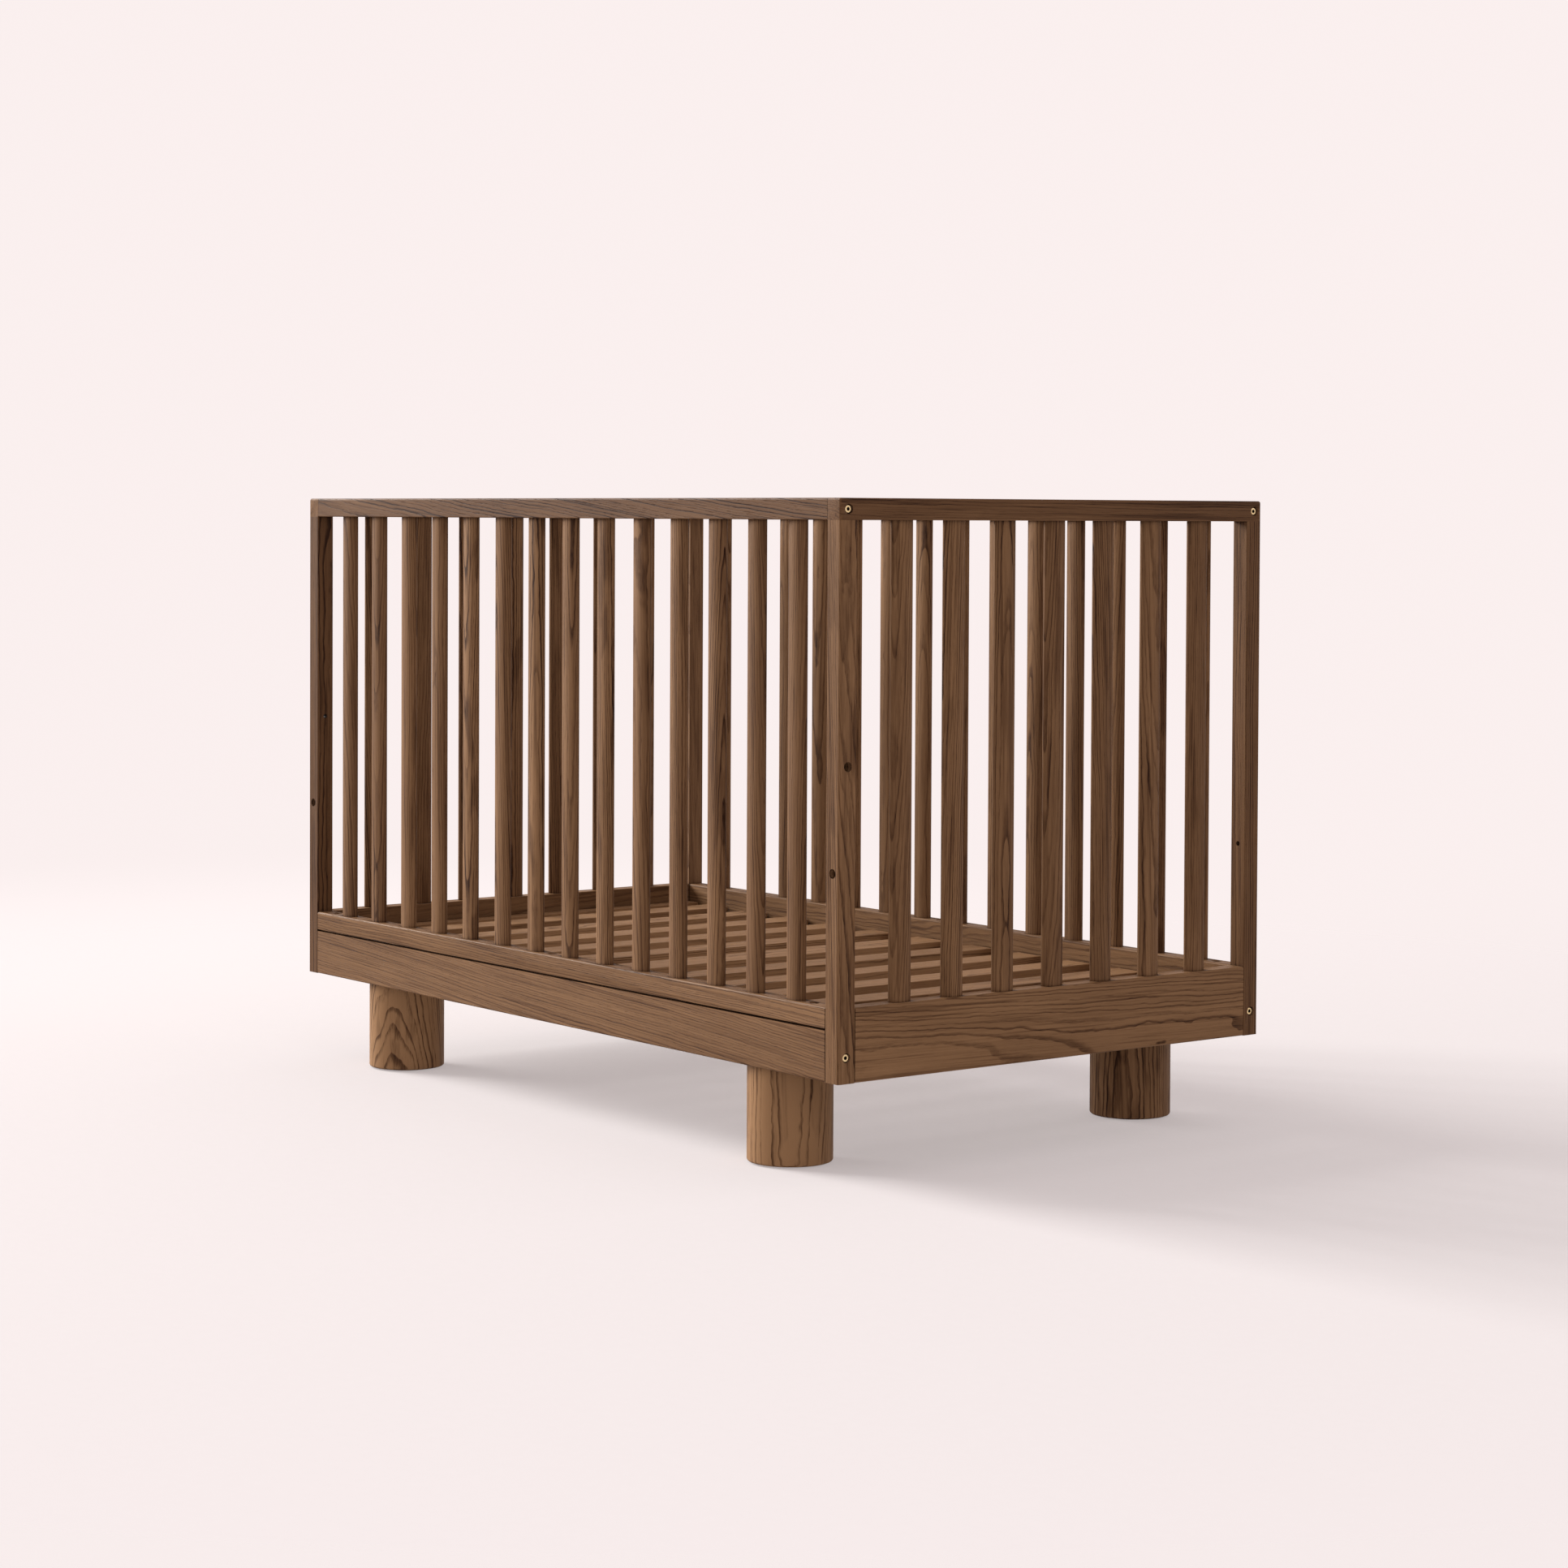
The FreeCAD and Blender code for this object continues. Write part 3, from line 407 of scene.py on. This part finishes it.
def finish_boards():
    boards = []
    for end in ENDS:
        for part in ("top_rail", "bottom_rail", "bearer"):
            boards.append((f"{end}_{part}", "Y", FRAME_BODY))
        boards.append((f"base_{end}_member", "Y", BASE_BODY))
        boards += [(f"{end}_{side}_post", "Z", FRAME_BODY) for side in SIDES]
    for side in SIDES:
        for part in ("top_rail", "bottom_rail", "skirt_rail", "ledge"):
            boards.append((f"{side}_{part}", "X", FRAME_BODY))
        boards.append((f"base_{side}_member", "X", BASE_BODY))
    for node, along, body in boards:
        drawn = somewhere_in_log()
        pith, lean, tone, figure = PICKED.get(node, drawn)
        if body == BASE_BODY:
            tone += BASE_TONE
        finish_board(node, along, body, pith, lean, tone, figure)
    return len(boards)


print(finish_boards(), "boards finished")

# %% [markdown]
# Rows of sticks
#
# Spindles and slats are sticks of one section at one pitch, so one Geometry Nodes tree makes both:
# it sweeps a section along a line, sets a copy on each point of a row, and draws for every copy its
# own place in the log. The tree ends by realising the copies and setting the material, because the
# finished piece is a plain mesh.


# %% Rows of sticks
OVAL_POINTS, CORNER_POINTS = 40, 5
# Between these, each stick draws its place in the log, its lean, its tone and its figure.
CUTS = ((0.0, -0.075, -0.09), (LOG_LENGTH, 0.075, 0.09))
LEANS = ((0.0, -0.035, -0.035), (0.0, 0.035, 0.035))
TONES, FIGURES = (-0.16, 0.22), (0.6, 1.3)


class Tree:
    """A Geometry Nodes tree while it is made, with named inputs."""

    def __init__(self, name, inputs):
        self.group = bpy.data.node_groups.new(name, "GeometryNodeTree")
        face = self.group.interface
        face.new_socket("Geometry", in_out="INPUT", socket_type="NodeSocketGeometry")
        face.new_socket("Geometry", in_out="OUTPUT", socket_type="NodeSocketGeometry")
        self.names = {}
        for label, kind in inputs.items():
            socket = face.new_socket(label, in_out="INPUT", socket_type=f"NodeSocket{kind}")
            self.names[label] = socket.identifier
        self.start = self.group.nodes.new("NodeGroupInput")
        self.end = self.group.nodes.new("NodeGroupOutput")

    def given(self, label):
        return self.start.outputs[label]

    def add(self, kind, settings=None, values=None, output=0):
        node = self.group.nodes.new(kind)
        for name, value in (settings or {}).items():
            setattr(node, name, value)
        for name, value in (values or {}).items():
            if isinstance(value, bpy.types.NodeSocket):
                self.group.links.new(value, node.inputs[name])
            else:
                node.inputs[name].default_value = value
        return node.outputs[output]

    def store(self, geometry, name, data_type, domain, value):
        return self.add("GeometryNodeStoreNamedAttribute", {"data_type": data_type, "domain": domain},
                        {"Geometry": geometry, "Name": name, "Value": value})

    def read(self, name, data_type):
        return self.add("GeometryNodeInputNamedAttribute", {"data_type": data_type}, {"Name": name})

    def vector(self, operation, first, second):
        if operation == "SCALE":
            values = {"Vector": first, "Scale": second}
        else:
            values = {0: first, 1: second}
        return self.add("ShaderNodeVectorMath", {"operation": operation}, values)

    def draw(self, low, high, seed, kind="FLOAT_VECTOR"):
        """A random draw for each copy, from a fixed seed."""
        node = self.group.nodes.new("FunctionNodeRandomValue")
        node.data_type = kind
        sockets = [s for s in node.inputs if s.enabled]
        sockets[0].default_value, sockets[1].default_value = low, high
        self.group.links.new(seed, node.inputs["Seed"])
        return next(s for s in node.outputs if s.enabled)

    def finish(self, geometry):
        """Real geometry with the wanted material, joined to the tree's end."""
        real = self.add("GeometryNodeSetMaterial", None,
                        {"Geometry": geometry, "Material": self.given("Material")})
        self.group.links.new(real, self.end.inputs[0])

    def make(self, name, values, source=None):
        """Runs the tree on a plain mesh with these input values and returns the piece as a plain mesh."""
        draft = bpy.data.objects.new(f"{name}_draft", source or bpy.data.meshes.new(f"{name}_source"))
        bpy.context.scene.collection.objects.link(draft)
        nodes = draft.modifiers.new("nodes", "NODES")
        nodes.node_group = self.group
        for label, value in values.items():
            nodes[self.names[label]] = value
        mesh = bpy.data.meshes.new_from_object(draft.evaluated_get(bpy.context.evaluated_depsgraph_get()))
        bpy.data.objects.remove(draft)
        return plain(name, mesh)


def stick_tree(section, order):
    """Sticks of an oval or a rounded rectangular section. order says which of x, y and z runs along,
    and which two across."""
    tree = Tree(f"{section}_sticks", {
        "Count": "Int", "First": "Vector", "Pitch": "Vector", "Run": "Vector", "Wide": "Float",
        "Thick": "Float", "Corner": "Float", "Tone": "Float", "Seed": "Int", "Material": "Material"})
    if section == "oval":
        ring = tree.add("GeometryNodeCurvePrimitiveCircle", None,
                        {"Resolution": OVAL_POINTS, "Radius": 0.5})
        reach = tree.add("ShaderNodeCombineXYZ", None,
                         {0: tree.given("Wide"), 1: tree.given("Thick"), 2: 1.0})
        outline = tree.add("GeometryNodeTransform", None, {"Geometry": ring, "Scale": reach})
    else:
        board = tree.add("GeometryNodeCurvePrimitiveQuadrilateral", None,
                         {"Width": tree.given("Wide"), "Height": tree.given("Thick")})
        outline = tree.add("GeometryNodeFilletCurve", {"mode": "POLY"},
                           {"Curve": board, "Count": CORNER_POINTS, "Radius": tree.given("Corner")})
    line = tree.add("GeometryNodeCurvePrimitiveLine", None, {"Start": (0, 0, 0), "End": tree.given("Run")})
    stick = tree.add("GeometryNodeCurveToMesh", None,
                     {"Curve": line, "Profile Curve": outline, "Fill Caps": True})
    place = tree.group.nodes.new("ShaderNodeSeparateXYZ")
    tree.group.links.new(tree.add("GeometryNodeInputPosition"), place.inputs[0])
    spot = tree.add("ShaderNodeCombineXYZ", None, {i: place.outputs[axis] for i, axis in enumerate(order)})
    stick = tree.store(stick, "grain", "FLOAT_VECTOR", "POINT", spot)

    row = tree.add("GeometryNodeMeshLine", {"mode": "OFFSET"},
                   {"Count": tree.given("Count"), "Start Location": tree.given("First"),
                    "Offset": tree.given("Pitch")})
    copies = tree.add("GeometryNodeInstanceOnPoints", None, {"Points": row, "Instance": stick})

    def seed_after(steps):
        return tree.add("ShaderNodeMath", {"operation": "ADD"}, {0: tree.given("Seed"), 1: steps})

    tone = tree.add("ShaderNodeMath", {"operation": "ADD"}, {
        0: tree.draw(*TONES, seed_after(90.0), "FLOAT"), 1: tree.given("Tone")})
    copies = tree.store(copies, "cut", "FLOAT_VECTOR", "INSTANCE", tree.draw(*CUTS, tree.given("Seed")))
    copies = tree.store(copies, "lean", "FLOAT_VECTOR", "INSTANCE", tree.draw(*LEANS, seed_after(50.0)))
    copies = tree.store(copies, "tone", "FLOAT", "INSTANCE", tone)
    copies = tree.store(copies, "figure", "FLOAT", "INSTANCE",
                        tree.draw(*FIGURES, seed_after(130.0), "FLOAT"))
    real = tree.add("GeometryNodeRealizeInstances", None, {"Geometry": copies})

    grain = tree.read("grain", "FLOAT_VECTOR")
    along = tree.add("ShaderNodeSeparateXYZ", None, {0: grain})
    slant = tree.vector("SCALE", tree.read("lean", "FLOAT_VECTOR"), along)
    sawn = tree.vector("ADD", tree.vector("ADD", grain, tree.read("cut", "FLOAT_VECTOR")), slant)
    real = tree.store(real, "grain", "FLOAT_VECTOR", "POINT", sawn)
    for spare in ("cut", "lean"):
        real = tree.add("GeometryNodeRemoveAttribute", None, {"Geometry": real, "Name": spare})
    real = tree.add("GeometryNodeSetShadeSmooth", None, {"Geometry": real})
    tree.finish(real)
    return tree


upright_ovals = stick_tree("oval", (2, 0, 1))
cross_slats = stick_tree("rounded", (1, 0, 2))
print("stick trees ready")

# %% [markdown]
# Spindles
#
# The spindles are oval: twice as wide along the panel as they are thick, and let a little way into
# both rails. Fourteen fill a side and seven an end, at the same pitch. Their sizes are read from
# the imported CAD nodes, so nothing is fitted by eye.

# %% Spindles
COUNTS = {"side": 14, "end": 7}


def spindle_panel(node, along, count, seed):
    low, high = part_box(node)
    size, axis = high - low, "XY".index(along)
    thick = size[1 - axis]
    wide = 2 * thick
    pitch = Vector((0, 0, 0))
    pitch[axis] = (size[axis] - wide) / (count - 1)
    first = Vector(((low.x + high.x) / 2, (low.y + high.y) / 2, low.z))
    first[axis] = low[axis] + wide / 2
    across = (wide, thick) if along == "X" else (thick, wide)
    panel = upright_ovals.make(node + "_turned", {
        "Count": count, "First": first, "Pitch": pitch, "Run": (0, 0, size.z), "Wide": across[0],
        "Thick": across[1], "Tone": 0.0, "Seed": seed, "Material": wood})
    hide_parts(node)
    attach(panel, FRAME_BODY)
    print(node, count, "spindles at", round(pitch[axis] / MM, 1), "mm")


for number, side in enumerate(SIDES):
    spindle_panel(f"{side}_spindles", "X", COUNTS["side"], 3 + number)
for number, end in enumerate(ENDS):
    spindle_panel(f"{end}_spindles", "Y", COUNTS["end"], 13 + number)

# %% [markdown]
# Slats
#
# The base has five slats each side of a wider middle one. Each row is made by the same tree, with a
# section of softly rounded corners, and the pieces ride on the base, so they lift with it.

# %% Slats
SLATS_EACH_WAY = 5
MIDDLE_SLAT = SLATS_EACH_WAY + 1
SLAT_CORNER = 1.5 * MM


def slat_row(name, nodes, seed):
    low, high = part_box(nodes[0])
    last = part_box(nodes[-1])[0]
    pitch = (last.x - low.x) / max(len(nodes) - 1, 1)
    row = cross_slats.make(name, {
        "Count": len(nodes), "First": ((low.x + high.x) / 2, low.y, (low.z + high.z) / 2),
        "Pitch": (pitch, 0, 0), "Run": (0, high.y - low.y, 0), "Wide": high.x - low.x,
        "Thick": high.z - low.z, "Corner": SLAT_CORNER, "Tone": BASE_TONE, "Seed": seed, "Material": wood})
    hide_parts(*nodes)
    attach(row, BASE_BODY)
    print(name, len(nodes), "slats")


slats = [f"base_slat_{number:02d}" for number in range(1, 2 * SLATS_EACH_WAY + 2)]
slat_row("head_end_slats", slats[:SLATS_EACH_WAY], 23)
slat_row("middle_slat", [slats[MIDDLE_SLAT - 1]], 24)
slat_row("foot_end_slats", slats[MIDDLE_SLAT:], 25)

# %% [markdown]
# Turned work
#
# Legs and bolts are round, so each is a stack of rings joined by faces. A ring is given by its
# radius and its height, and for a bolt's socket the ring is a hexagon instead: its points keep
# their angle and move in to the flats, so the round rings and the hexagons join without a seam.


# %% Turned work
def ring_points(radius, height, flats, count):
    points = []
    for step in range(count):
        angle = math.tau * step / count
        reach = radius
        if flats:
            part = math.tau / flats
            reach = radius * math.cos(part / 2) / math.cos((angle % part) - part / 2)
        points.append((reach * math.cos(angle), reach * math.sin(angle), height))
    return points


def turned_mesh(name, rings, count):
    """A closed mesh from a stack of (radius, height, flats) rings, capped at both ends."""
    shape = bmesh.new()
    rows = [[shape.verts.new(p) for p in ring_points(*ring, count)] for ring in rings]
    for lower, upper in zip(rows, rows[1:]):
        for step in range(count):
            nxt = (step + 1) % count
            shape.faces.new((lower[step], lower[nxt], upper[nxt], upper[step]))
    shape.faces.new(list(reversed(rows[0])))
    shape.faces.new(rows[-1])
    bmesh.ops.recalc_face_normals(shape, faces=shape.faces)
    for face in shape.faces:
        face.smooth = True
    mesh = bpy.data.meshes.new(name)
    shape.to_mesh(mesh)
    shape.free()
    return mesh


def rounded_corner(radius, height, bend, upward, steps):
    """Rings round a turned edge of the given bend, from the end face to the side or back."""
    rings = []
    for step in range(steps + 1):
        angle = math.pi / 2 * step / steps
        inset, rise = bend * (1 - math.sin(angle)), bend * (1 - math.cos(angle))
        rings.append((radius - inset, height + (rise if upward else -rise), 0))
    return rings if upward else list(reversed(rings))


LEG_SEGMENTS = 160
LEG_ROUNDING, LEG_TOP_ROUNDING = 3.5 * MM, 0.4 * MM
LEG_FIGURE = 1.5
# Each leg's pith, in metres from its middle, its lean and its tone: turned from one thick blank each.
LEG_LOGS = {
    "head_end_front": ((0.036, -0.071), (-0.07, 0.05), -0.80),
    "foot_end_front": ((0.055, -0.065), (0.030, 0.025), -1.00),
    "foot_end_back": ((0.031, -0.085), (0.020, 0.030), -0.15),
    "head_end_back": ((-0.050, 0.060), (0.06, 0.08), -0.40),
}


def make_leg(corner):
    node = f"{corner}_leg"
    low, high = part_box(node)
    radius = (high.x - low.x) / 2
    rings = rounded_corner(radius, low.z, LEG_ROUNDING, True, 6)
    rings += rounded_corner(radius, high.z, LEG_TOP_ROUNDING, False, 2)
    mesh = turned_mesh(node + "_blank", rings, LEG_SEGMENTS)
    middle = Vector(((low.x + high.x) / 2, (low.y + high.y) / 2, 0))
    mesh.transform(Matrix.Translation(middle))
    pith, lean, tone = LEG_LOGS[corner]
    from_log(mesh, "Z", middle, pith, lean, tone, LEG_FIGURE)
    leg = plain(f"{corner}_turned_leg", mesh)
    leg.data.materials.append(wood)
    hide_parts(node)
    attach(leg, FRAME_BODY)
    print(leg.name, round(2 * radius / MM), "mm across")


for corner in LEG_LOGS:
    make_leg(corner)

# %% [markdown]
# Metal, felt and dowels
#
# The bolts are antique brass: a pale gold that has darkened where fingers don't rub it, and painted
# shade makes the sockets nearly black. The hidden hardware is zinc-plated steel with fine turning
# marks. The glides are dark felt and the dowels plain beech.


# %% Metal, felt and dowels
def antique_brass():
    brass = Finish("antique_brass")
    place = brass.add("ShaderNodeTexCoord").outputs["Object"]
    tarnish = brass.noise(place, (420.0, 420.0, 420.0), 3.0).between(0.42, 0.72)
    marks = brass.noise(place, (2500.0, 2500.0, 2500.0), 2.0)
    colour = brass.mix(tarnish * 0.7, (0.86, 0.68, 0.38, 1), (0.50, 0.34, 0.16, 1))
    # Painted shade: the socket's walls and bottom are drawn nearly black.
    painted_socket_shade = brass.amount("ShaderNodeAttribute", {"attribute_name": "painted_socket_shade"}, None, "Fac")
    colour = brass.mix(painted_socket_shade, colour, (0.030, 0.018, 0.010, 1))
    return brass.shine(colour, 0.30 + tarnish * 0.18 + marks * 0.08, marks, 0.04 * MM, Metallic=1.0)


def zinc_steel():
    zinc = Finish("zinc_steel")
    place = zinc.add("ShaderNodeTexCoord").outputs["Object"]
    marks = zinc.noise(place, (300.0, 300.0, 2600.0), 2.0)
    spangle = zinc.noise(place, (160.0, 160.0, 160.0), 1.0)
    colour = zinc.mix(spangle, (0.52, 0.53, 0.55, 1), (0.70, 0.70, 0.69, 1))
    return zinc.shine(colour, 0.24 + marks * 0.22, marks, 0.03 * MM, Metallic=1.0)


def dark_felt():
    felt = Finish("dark_felt")
    place = felt.add("ShaderNodeTexCoord").outputs["Object"]
    hairs = felt.noise(place, (900.0, 900.0, 900.0), 4.0, 0.7)
    tufts = felt.noise(place, (140.0, 140.0, 140.0), 2.0)
    colour = felt.mix(hairs.between(0.3, 0.7), (0.055, 0.040, 0.032, 1), (0.135, 0.100, 0.080, 1))
    return felt.shine(colour, 0.95 - tufts * 0.1, hairs + tufts * 0.5, 0.5 * MM)


def plain_beech():
    beech = Finish("plain_beech")
    place = beech.add("ShaderNodeTexCoord").outputs["Object"]
    flecks = beech.noise(place, (500.0, 500.0, 60.0), 2.0).between(0.52, 0.66)
    cloud = beech.noise(place, (22.0, 22.0, 22.0), 2.0)
    colour = beech.mix(cloud, (0.56, 0.39, 0.24, 1), (0.66, 0.49, 0.32, 1))
    colour = beech.mix(flecks * 0.5, colour, (0.38, 0.24, 0.14, 1))
    return beech.shine(colour, 0.62 + flecks * 0.1, flecks, 0.05 * MM)


brass, zinc, felt, beech = antique_brass(), zinc_steel(), dark_felt(), plain_beech()
CARRIED_OVER = {
    zinc: ("corner_barrel_nuts", "skirt_barrel_nuts", "side_panel_inserts", "leg_bolts", "leg_washers",
           "leg_inserts", "ledge_screws"),
    beech: ("end_rail_dowels", "post_top_dowels", "bearer_dowels", "leg_dowels"),
    felt: ("floor_glides",),
}
for material, nodes in CARRIED_OVER.items():
    for node in nodes:
        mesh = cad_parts[node].data
        mesh.materials.clear()
        mesh.materials.append(material)
print("hidden hardware, dowels and glides have their finishes")

# %% [markdown]
# Cap bolts
#
# A socket cap bolt is a turned head with a hexagonal socket and a plain shank. One is made for each
# length, standing head up on its own origin. Then a small Geometry Nodes tree sets copies on points
# that say which way each bolt faces, and turns every copy by a different angle, as bolts are when
# tightened.

# %% Cap bolts
BOLT_SEGMENTS = 48
HEAD_RADIUS, HEAD_LENGTH, SHANK_RADIUS = 5 * MM, 6 * MM, 3 * MM
SOCKET_RADIUS, SOCKET_DEPTH, EDGE = 2.4 * MM, 3.5 * MM, 0.6 * MM
HEXAGON = 6
END_BOLT_SHANK = 60 * MM


def bolt_mesh(shank):
    """The head's top is at height 0 and the shank's tip is below it."""
    tip = -HEAD_LENGTH - shank
    rings = [
        (SHANK_RADIUS - EDGE, tip, 0), (SHANK_RADIUS, tip + EDGE, 0), (SHANK_RADIUS, -HEAD_LENGTH, 0),
        (HEAD_RADIUS - EDGE / 2, -HEAD_LENGTH, 0), (HEAD_RADIUS, -HEAD_LENGTH + EDGE / 2, 0),
        (HEAD_RADIUS, -EDGE, 0), (HEAD_RADIUS - EDGE * 0.3, -EDGE * 0.3, 0), (HEAD_RADIUS - EDGE, 0, 0),
        (SOCKET_RADIUS + EDGE, 0, 0),
        (SOCKET_RADIUS, -EDGE / 2, HEXAGON), (SOCKET_RADIUS, -SOCKET_DEPTH, HEXAGON),
    ]
    mesh = turned_mesh("cap_bolt_pattern", rings, BOLT_SEGMENTS)
    # The socket's corners are marked for painted shade.
    dark = [float(math.hypot(v.co.x, v.co.y) < SOCKET_RADIUS + EDGE / 3) for v in mesh.vertices]
    mesh.attributes.new("painted_socket_shade", "FLOAT", "POINT").data.foreach_set("value", dark)
    return mesh


def bolt_tree():
    tree = Tree("bolts_on_points", {"Bolt": "Object", "Seed": "Int", "Material": "Material"})
    points = tree.start.outputs[0]
    bolt = tree.add("GeometryNodeObjectInfo", None, {"Object": tree.given("Bolt")}, "Geometry")
    aimed = tree.add("FunctionNodeAlignRotationToVector", {"axis": "Z"},
                     {"Vector": tree.read("facing", "FLOAT_VECTOR")})
    spin = tree.draw(0.0, math.tau, tree.given("Seed"), "FLOAT")
    twist = tree.add("FunctionNodeAxisAngleToRotation", None, {"Axis": (0, 0, 1), "Angle": spin})
    turn = tree.add("FunctionNodeRotateRotation", {"rotation_space": "LOCAL"},
                    {"Rotation": aimed, "Rotate By": twist})
    copies = tree.add("GeometryNodeInstanceOnPoints", None,
                      {"Points": points, "Instance": bolt, "Rotation": turn})
    tree.finish(tree.add("GeometryNodeRealizeInstances", None, {"Geometry": copies}))
    return tree


bolts_on_points = bolt_tree()


def set_bolts(node, shank, places, seed):
    """places is a list of (point, direction the head faces)."""
    pattern = bpy.data.objects.new(f"{node}_pattern", bolt_mesh(shank))
    points = bpy.data.meshes.new(f"{node}_places")
    points.from_pydata([place for place, _ in places], [], [])
    facing = [number for _, way in places for number in way]
    points.attributes.new("facing", "FLOAT_VECTOR", "POINT").data.foreach_set("vector", facing)
    values = {"Bolt": pattern, "Seed": seed, "Material": brass}
    bolts = bolts_on_points.make(f"{node}_brass", values, points)
    bpy.data.objects.remove(pattern)
    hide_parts(node)
    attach(bolts, FRAME_BODY)
    print(node, len(places), "bolts")


def end_bolts(node, seed):
    low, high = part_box(node)
    height = (low.z + high.z) / 2
    places = [((end * high.x, side * (high.y - HEAD_RADIUS), height), (end, 0, 0))
              for end in ENDS.values() for side in SIDES.values()]
    set_bolts(node, END_BOLT_SHANK, places, seed)


end_bolts("corner_bolts", 31)
end_bolts("skirt_bolts", 32)
low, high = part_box("side_panel_bolts")
reach = high.x - HEAD_RADIUS
set_bolts("side_panel_bolts", high.z - low.z - HEAD_LENGTH,
          [((x, side * (high.y - HEAD_RADIUS), high.z), (0, 0, 1))
           for x in (-reach, 0, reach) for side in SIDES.values()], 33)

# %% [markdown]
# The studio
#
# The floor is a wide pale disc. It is partly clear even under the playpen, which keeps the shadows
# soft, and it thins out into the background, so no horizon shows from any side. One large soft
# light stands far off to the front left and the pale world fills the rest, which leaves the end
# panel darker than the long side.

# %% The studio
BACKDROP = (0.960, 0.868, 0.860, 1)
# The floor is this clear near the playpen, and clears fully between these distances from its middle.
CLEAR_NEAR, CLEARING = 0.40, (1.4, 4.0)
FLOOR_RADIUS, FLOOR_SIDES = 6.0, 96
LIT_POINT = Vector((0, 0, 0.45))


def pale_floor():
    floor = Finish("pale_floor")
    place = floor.add("ShaderNodeTexCoord").outputs["Object"]
    distance = floor.amount("ShaderNodeVectorMath", {"operation": "LENGTH"}, {0: place}, "Value")
    speckle = floor.noise(place, (60.0, 60.0, 60.0), 2.0)
    colour = floor.mix(speckle, (0.489, 0.468, 0.472, 1), (0.501, 0.480, 0.484, 1))
    matt = floor.add("ShaderNodeBsdfPrincipled", None, {
        "Base Color": colour, "Roughness": 1.0, "Specular IOR Level": 0.0})
    clear = floor.add("ShaderNodeBsdfTransparent")
    share = CLEAR_NEAR + (1.0 - CLEAR_NEAR) * distance.between(*CLEARING)
    both = floor.add("ShaderNodeMixShader", None, {0: share, 1: matt.outputs[0], 2: clear.outputs[0]})
    floor.add("ShaderNodeOutputMaterial", None, {"Surface": both.outputs[0]})
    return floor.material


def make_floor():
    mesh = bpy.data.meshes.new("floor")
    disc = bmesh.new()
    bmesh.ops.create_circle(disc, cap_ends=True, segments=FLOOR_SIDES, radius=FLOOR_RADIUS)
    disc.to_mesh(mesh)
    disc.free()
    floor = bpy.data.objects.new("floor", mesh)
    bpy.context.scene.collection.objects.link(floor)
    mesh.materials.append(pale_floor())


def soft_light(name, azimuth, elevation, distance, size, power, colour):
    """A square light aimed at the middle of the playpen. Azimuth 0 faces the front side."""
    light = bpy.data.lights.new(name, "AREA")
    light.shape = "SQUARE"
    light.size, light.energy, light.color = size, power, colour
    way = Vector((math.sin(azimuth) * math.cos(elevation), -math.cos(azimuth) * math.cos(elevation),
                  math.sin(elevation)))
    lamp = bpy.data.objects.new(name, light)
    bpy.context.scene.collection.objects.link(lamp)
    lamp.location = LIT_POINT + way * distance
    lamp.rotation_mode = "QUATERNION"
    lamp.rotation_quaternion = way.to_track_quat("Z", "Y")


def make_studio():
    scene = bpy.context.scene
    scene.view_settings.view_transform = "Standard"
    world = bpy.data.worlds.new("pale_studio")
    scene.world = world
    world.use_nodes = True
    background = next(n for n in world.node_tree.nodes if n.type == "BACKGROUND")
    background.inputs["Color"].default_value = BACKDROP
    background.inputs["Strength"].default_value = 1.0
    soft_light("key", math.radians(-68), math.radians(25), 20.0, 9.3, 9800, (1.0, 0.985, 0.96))


make_floor()
make_studio()
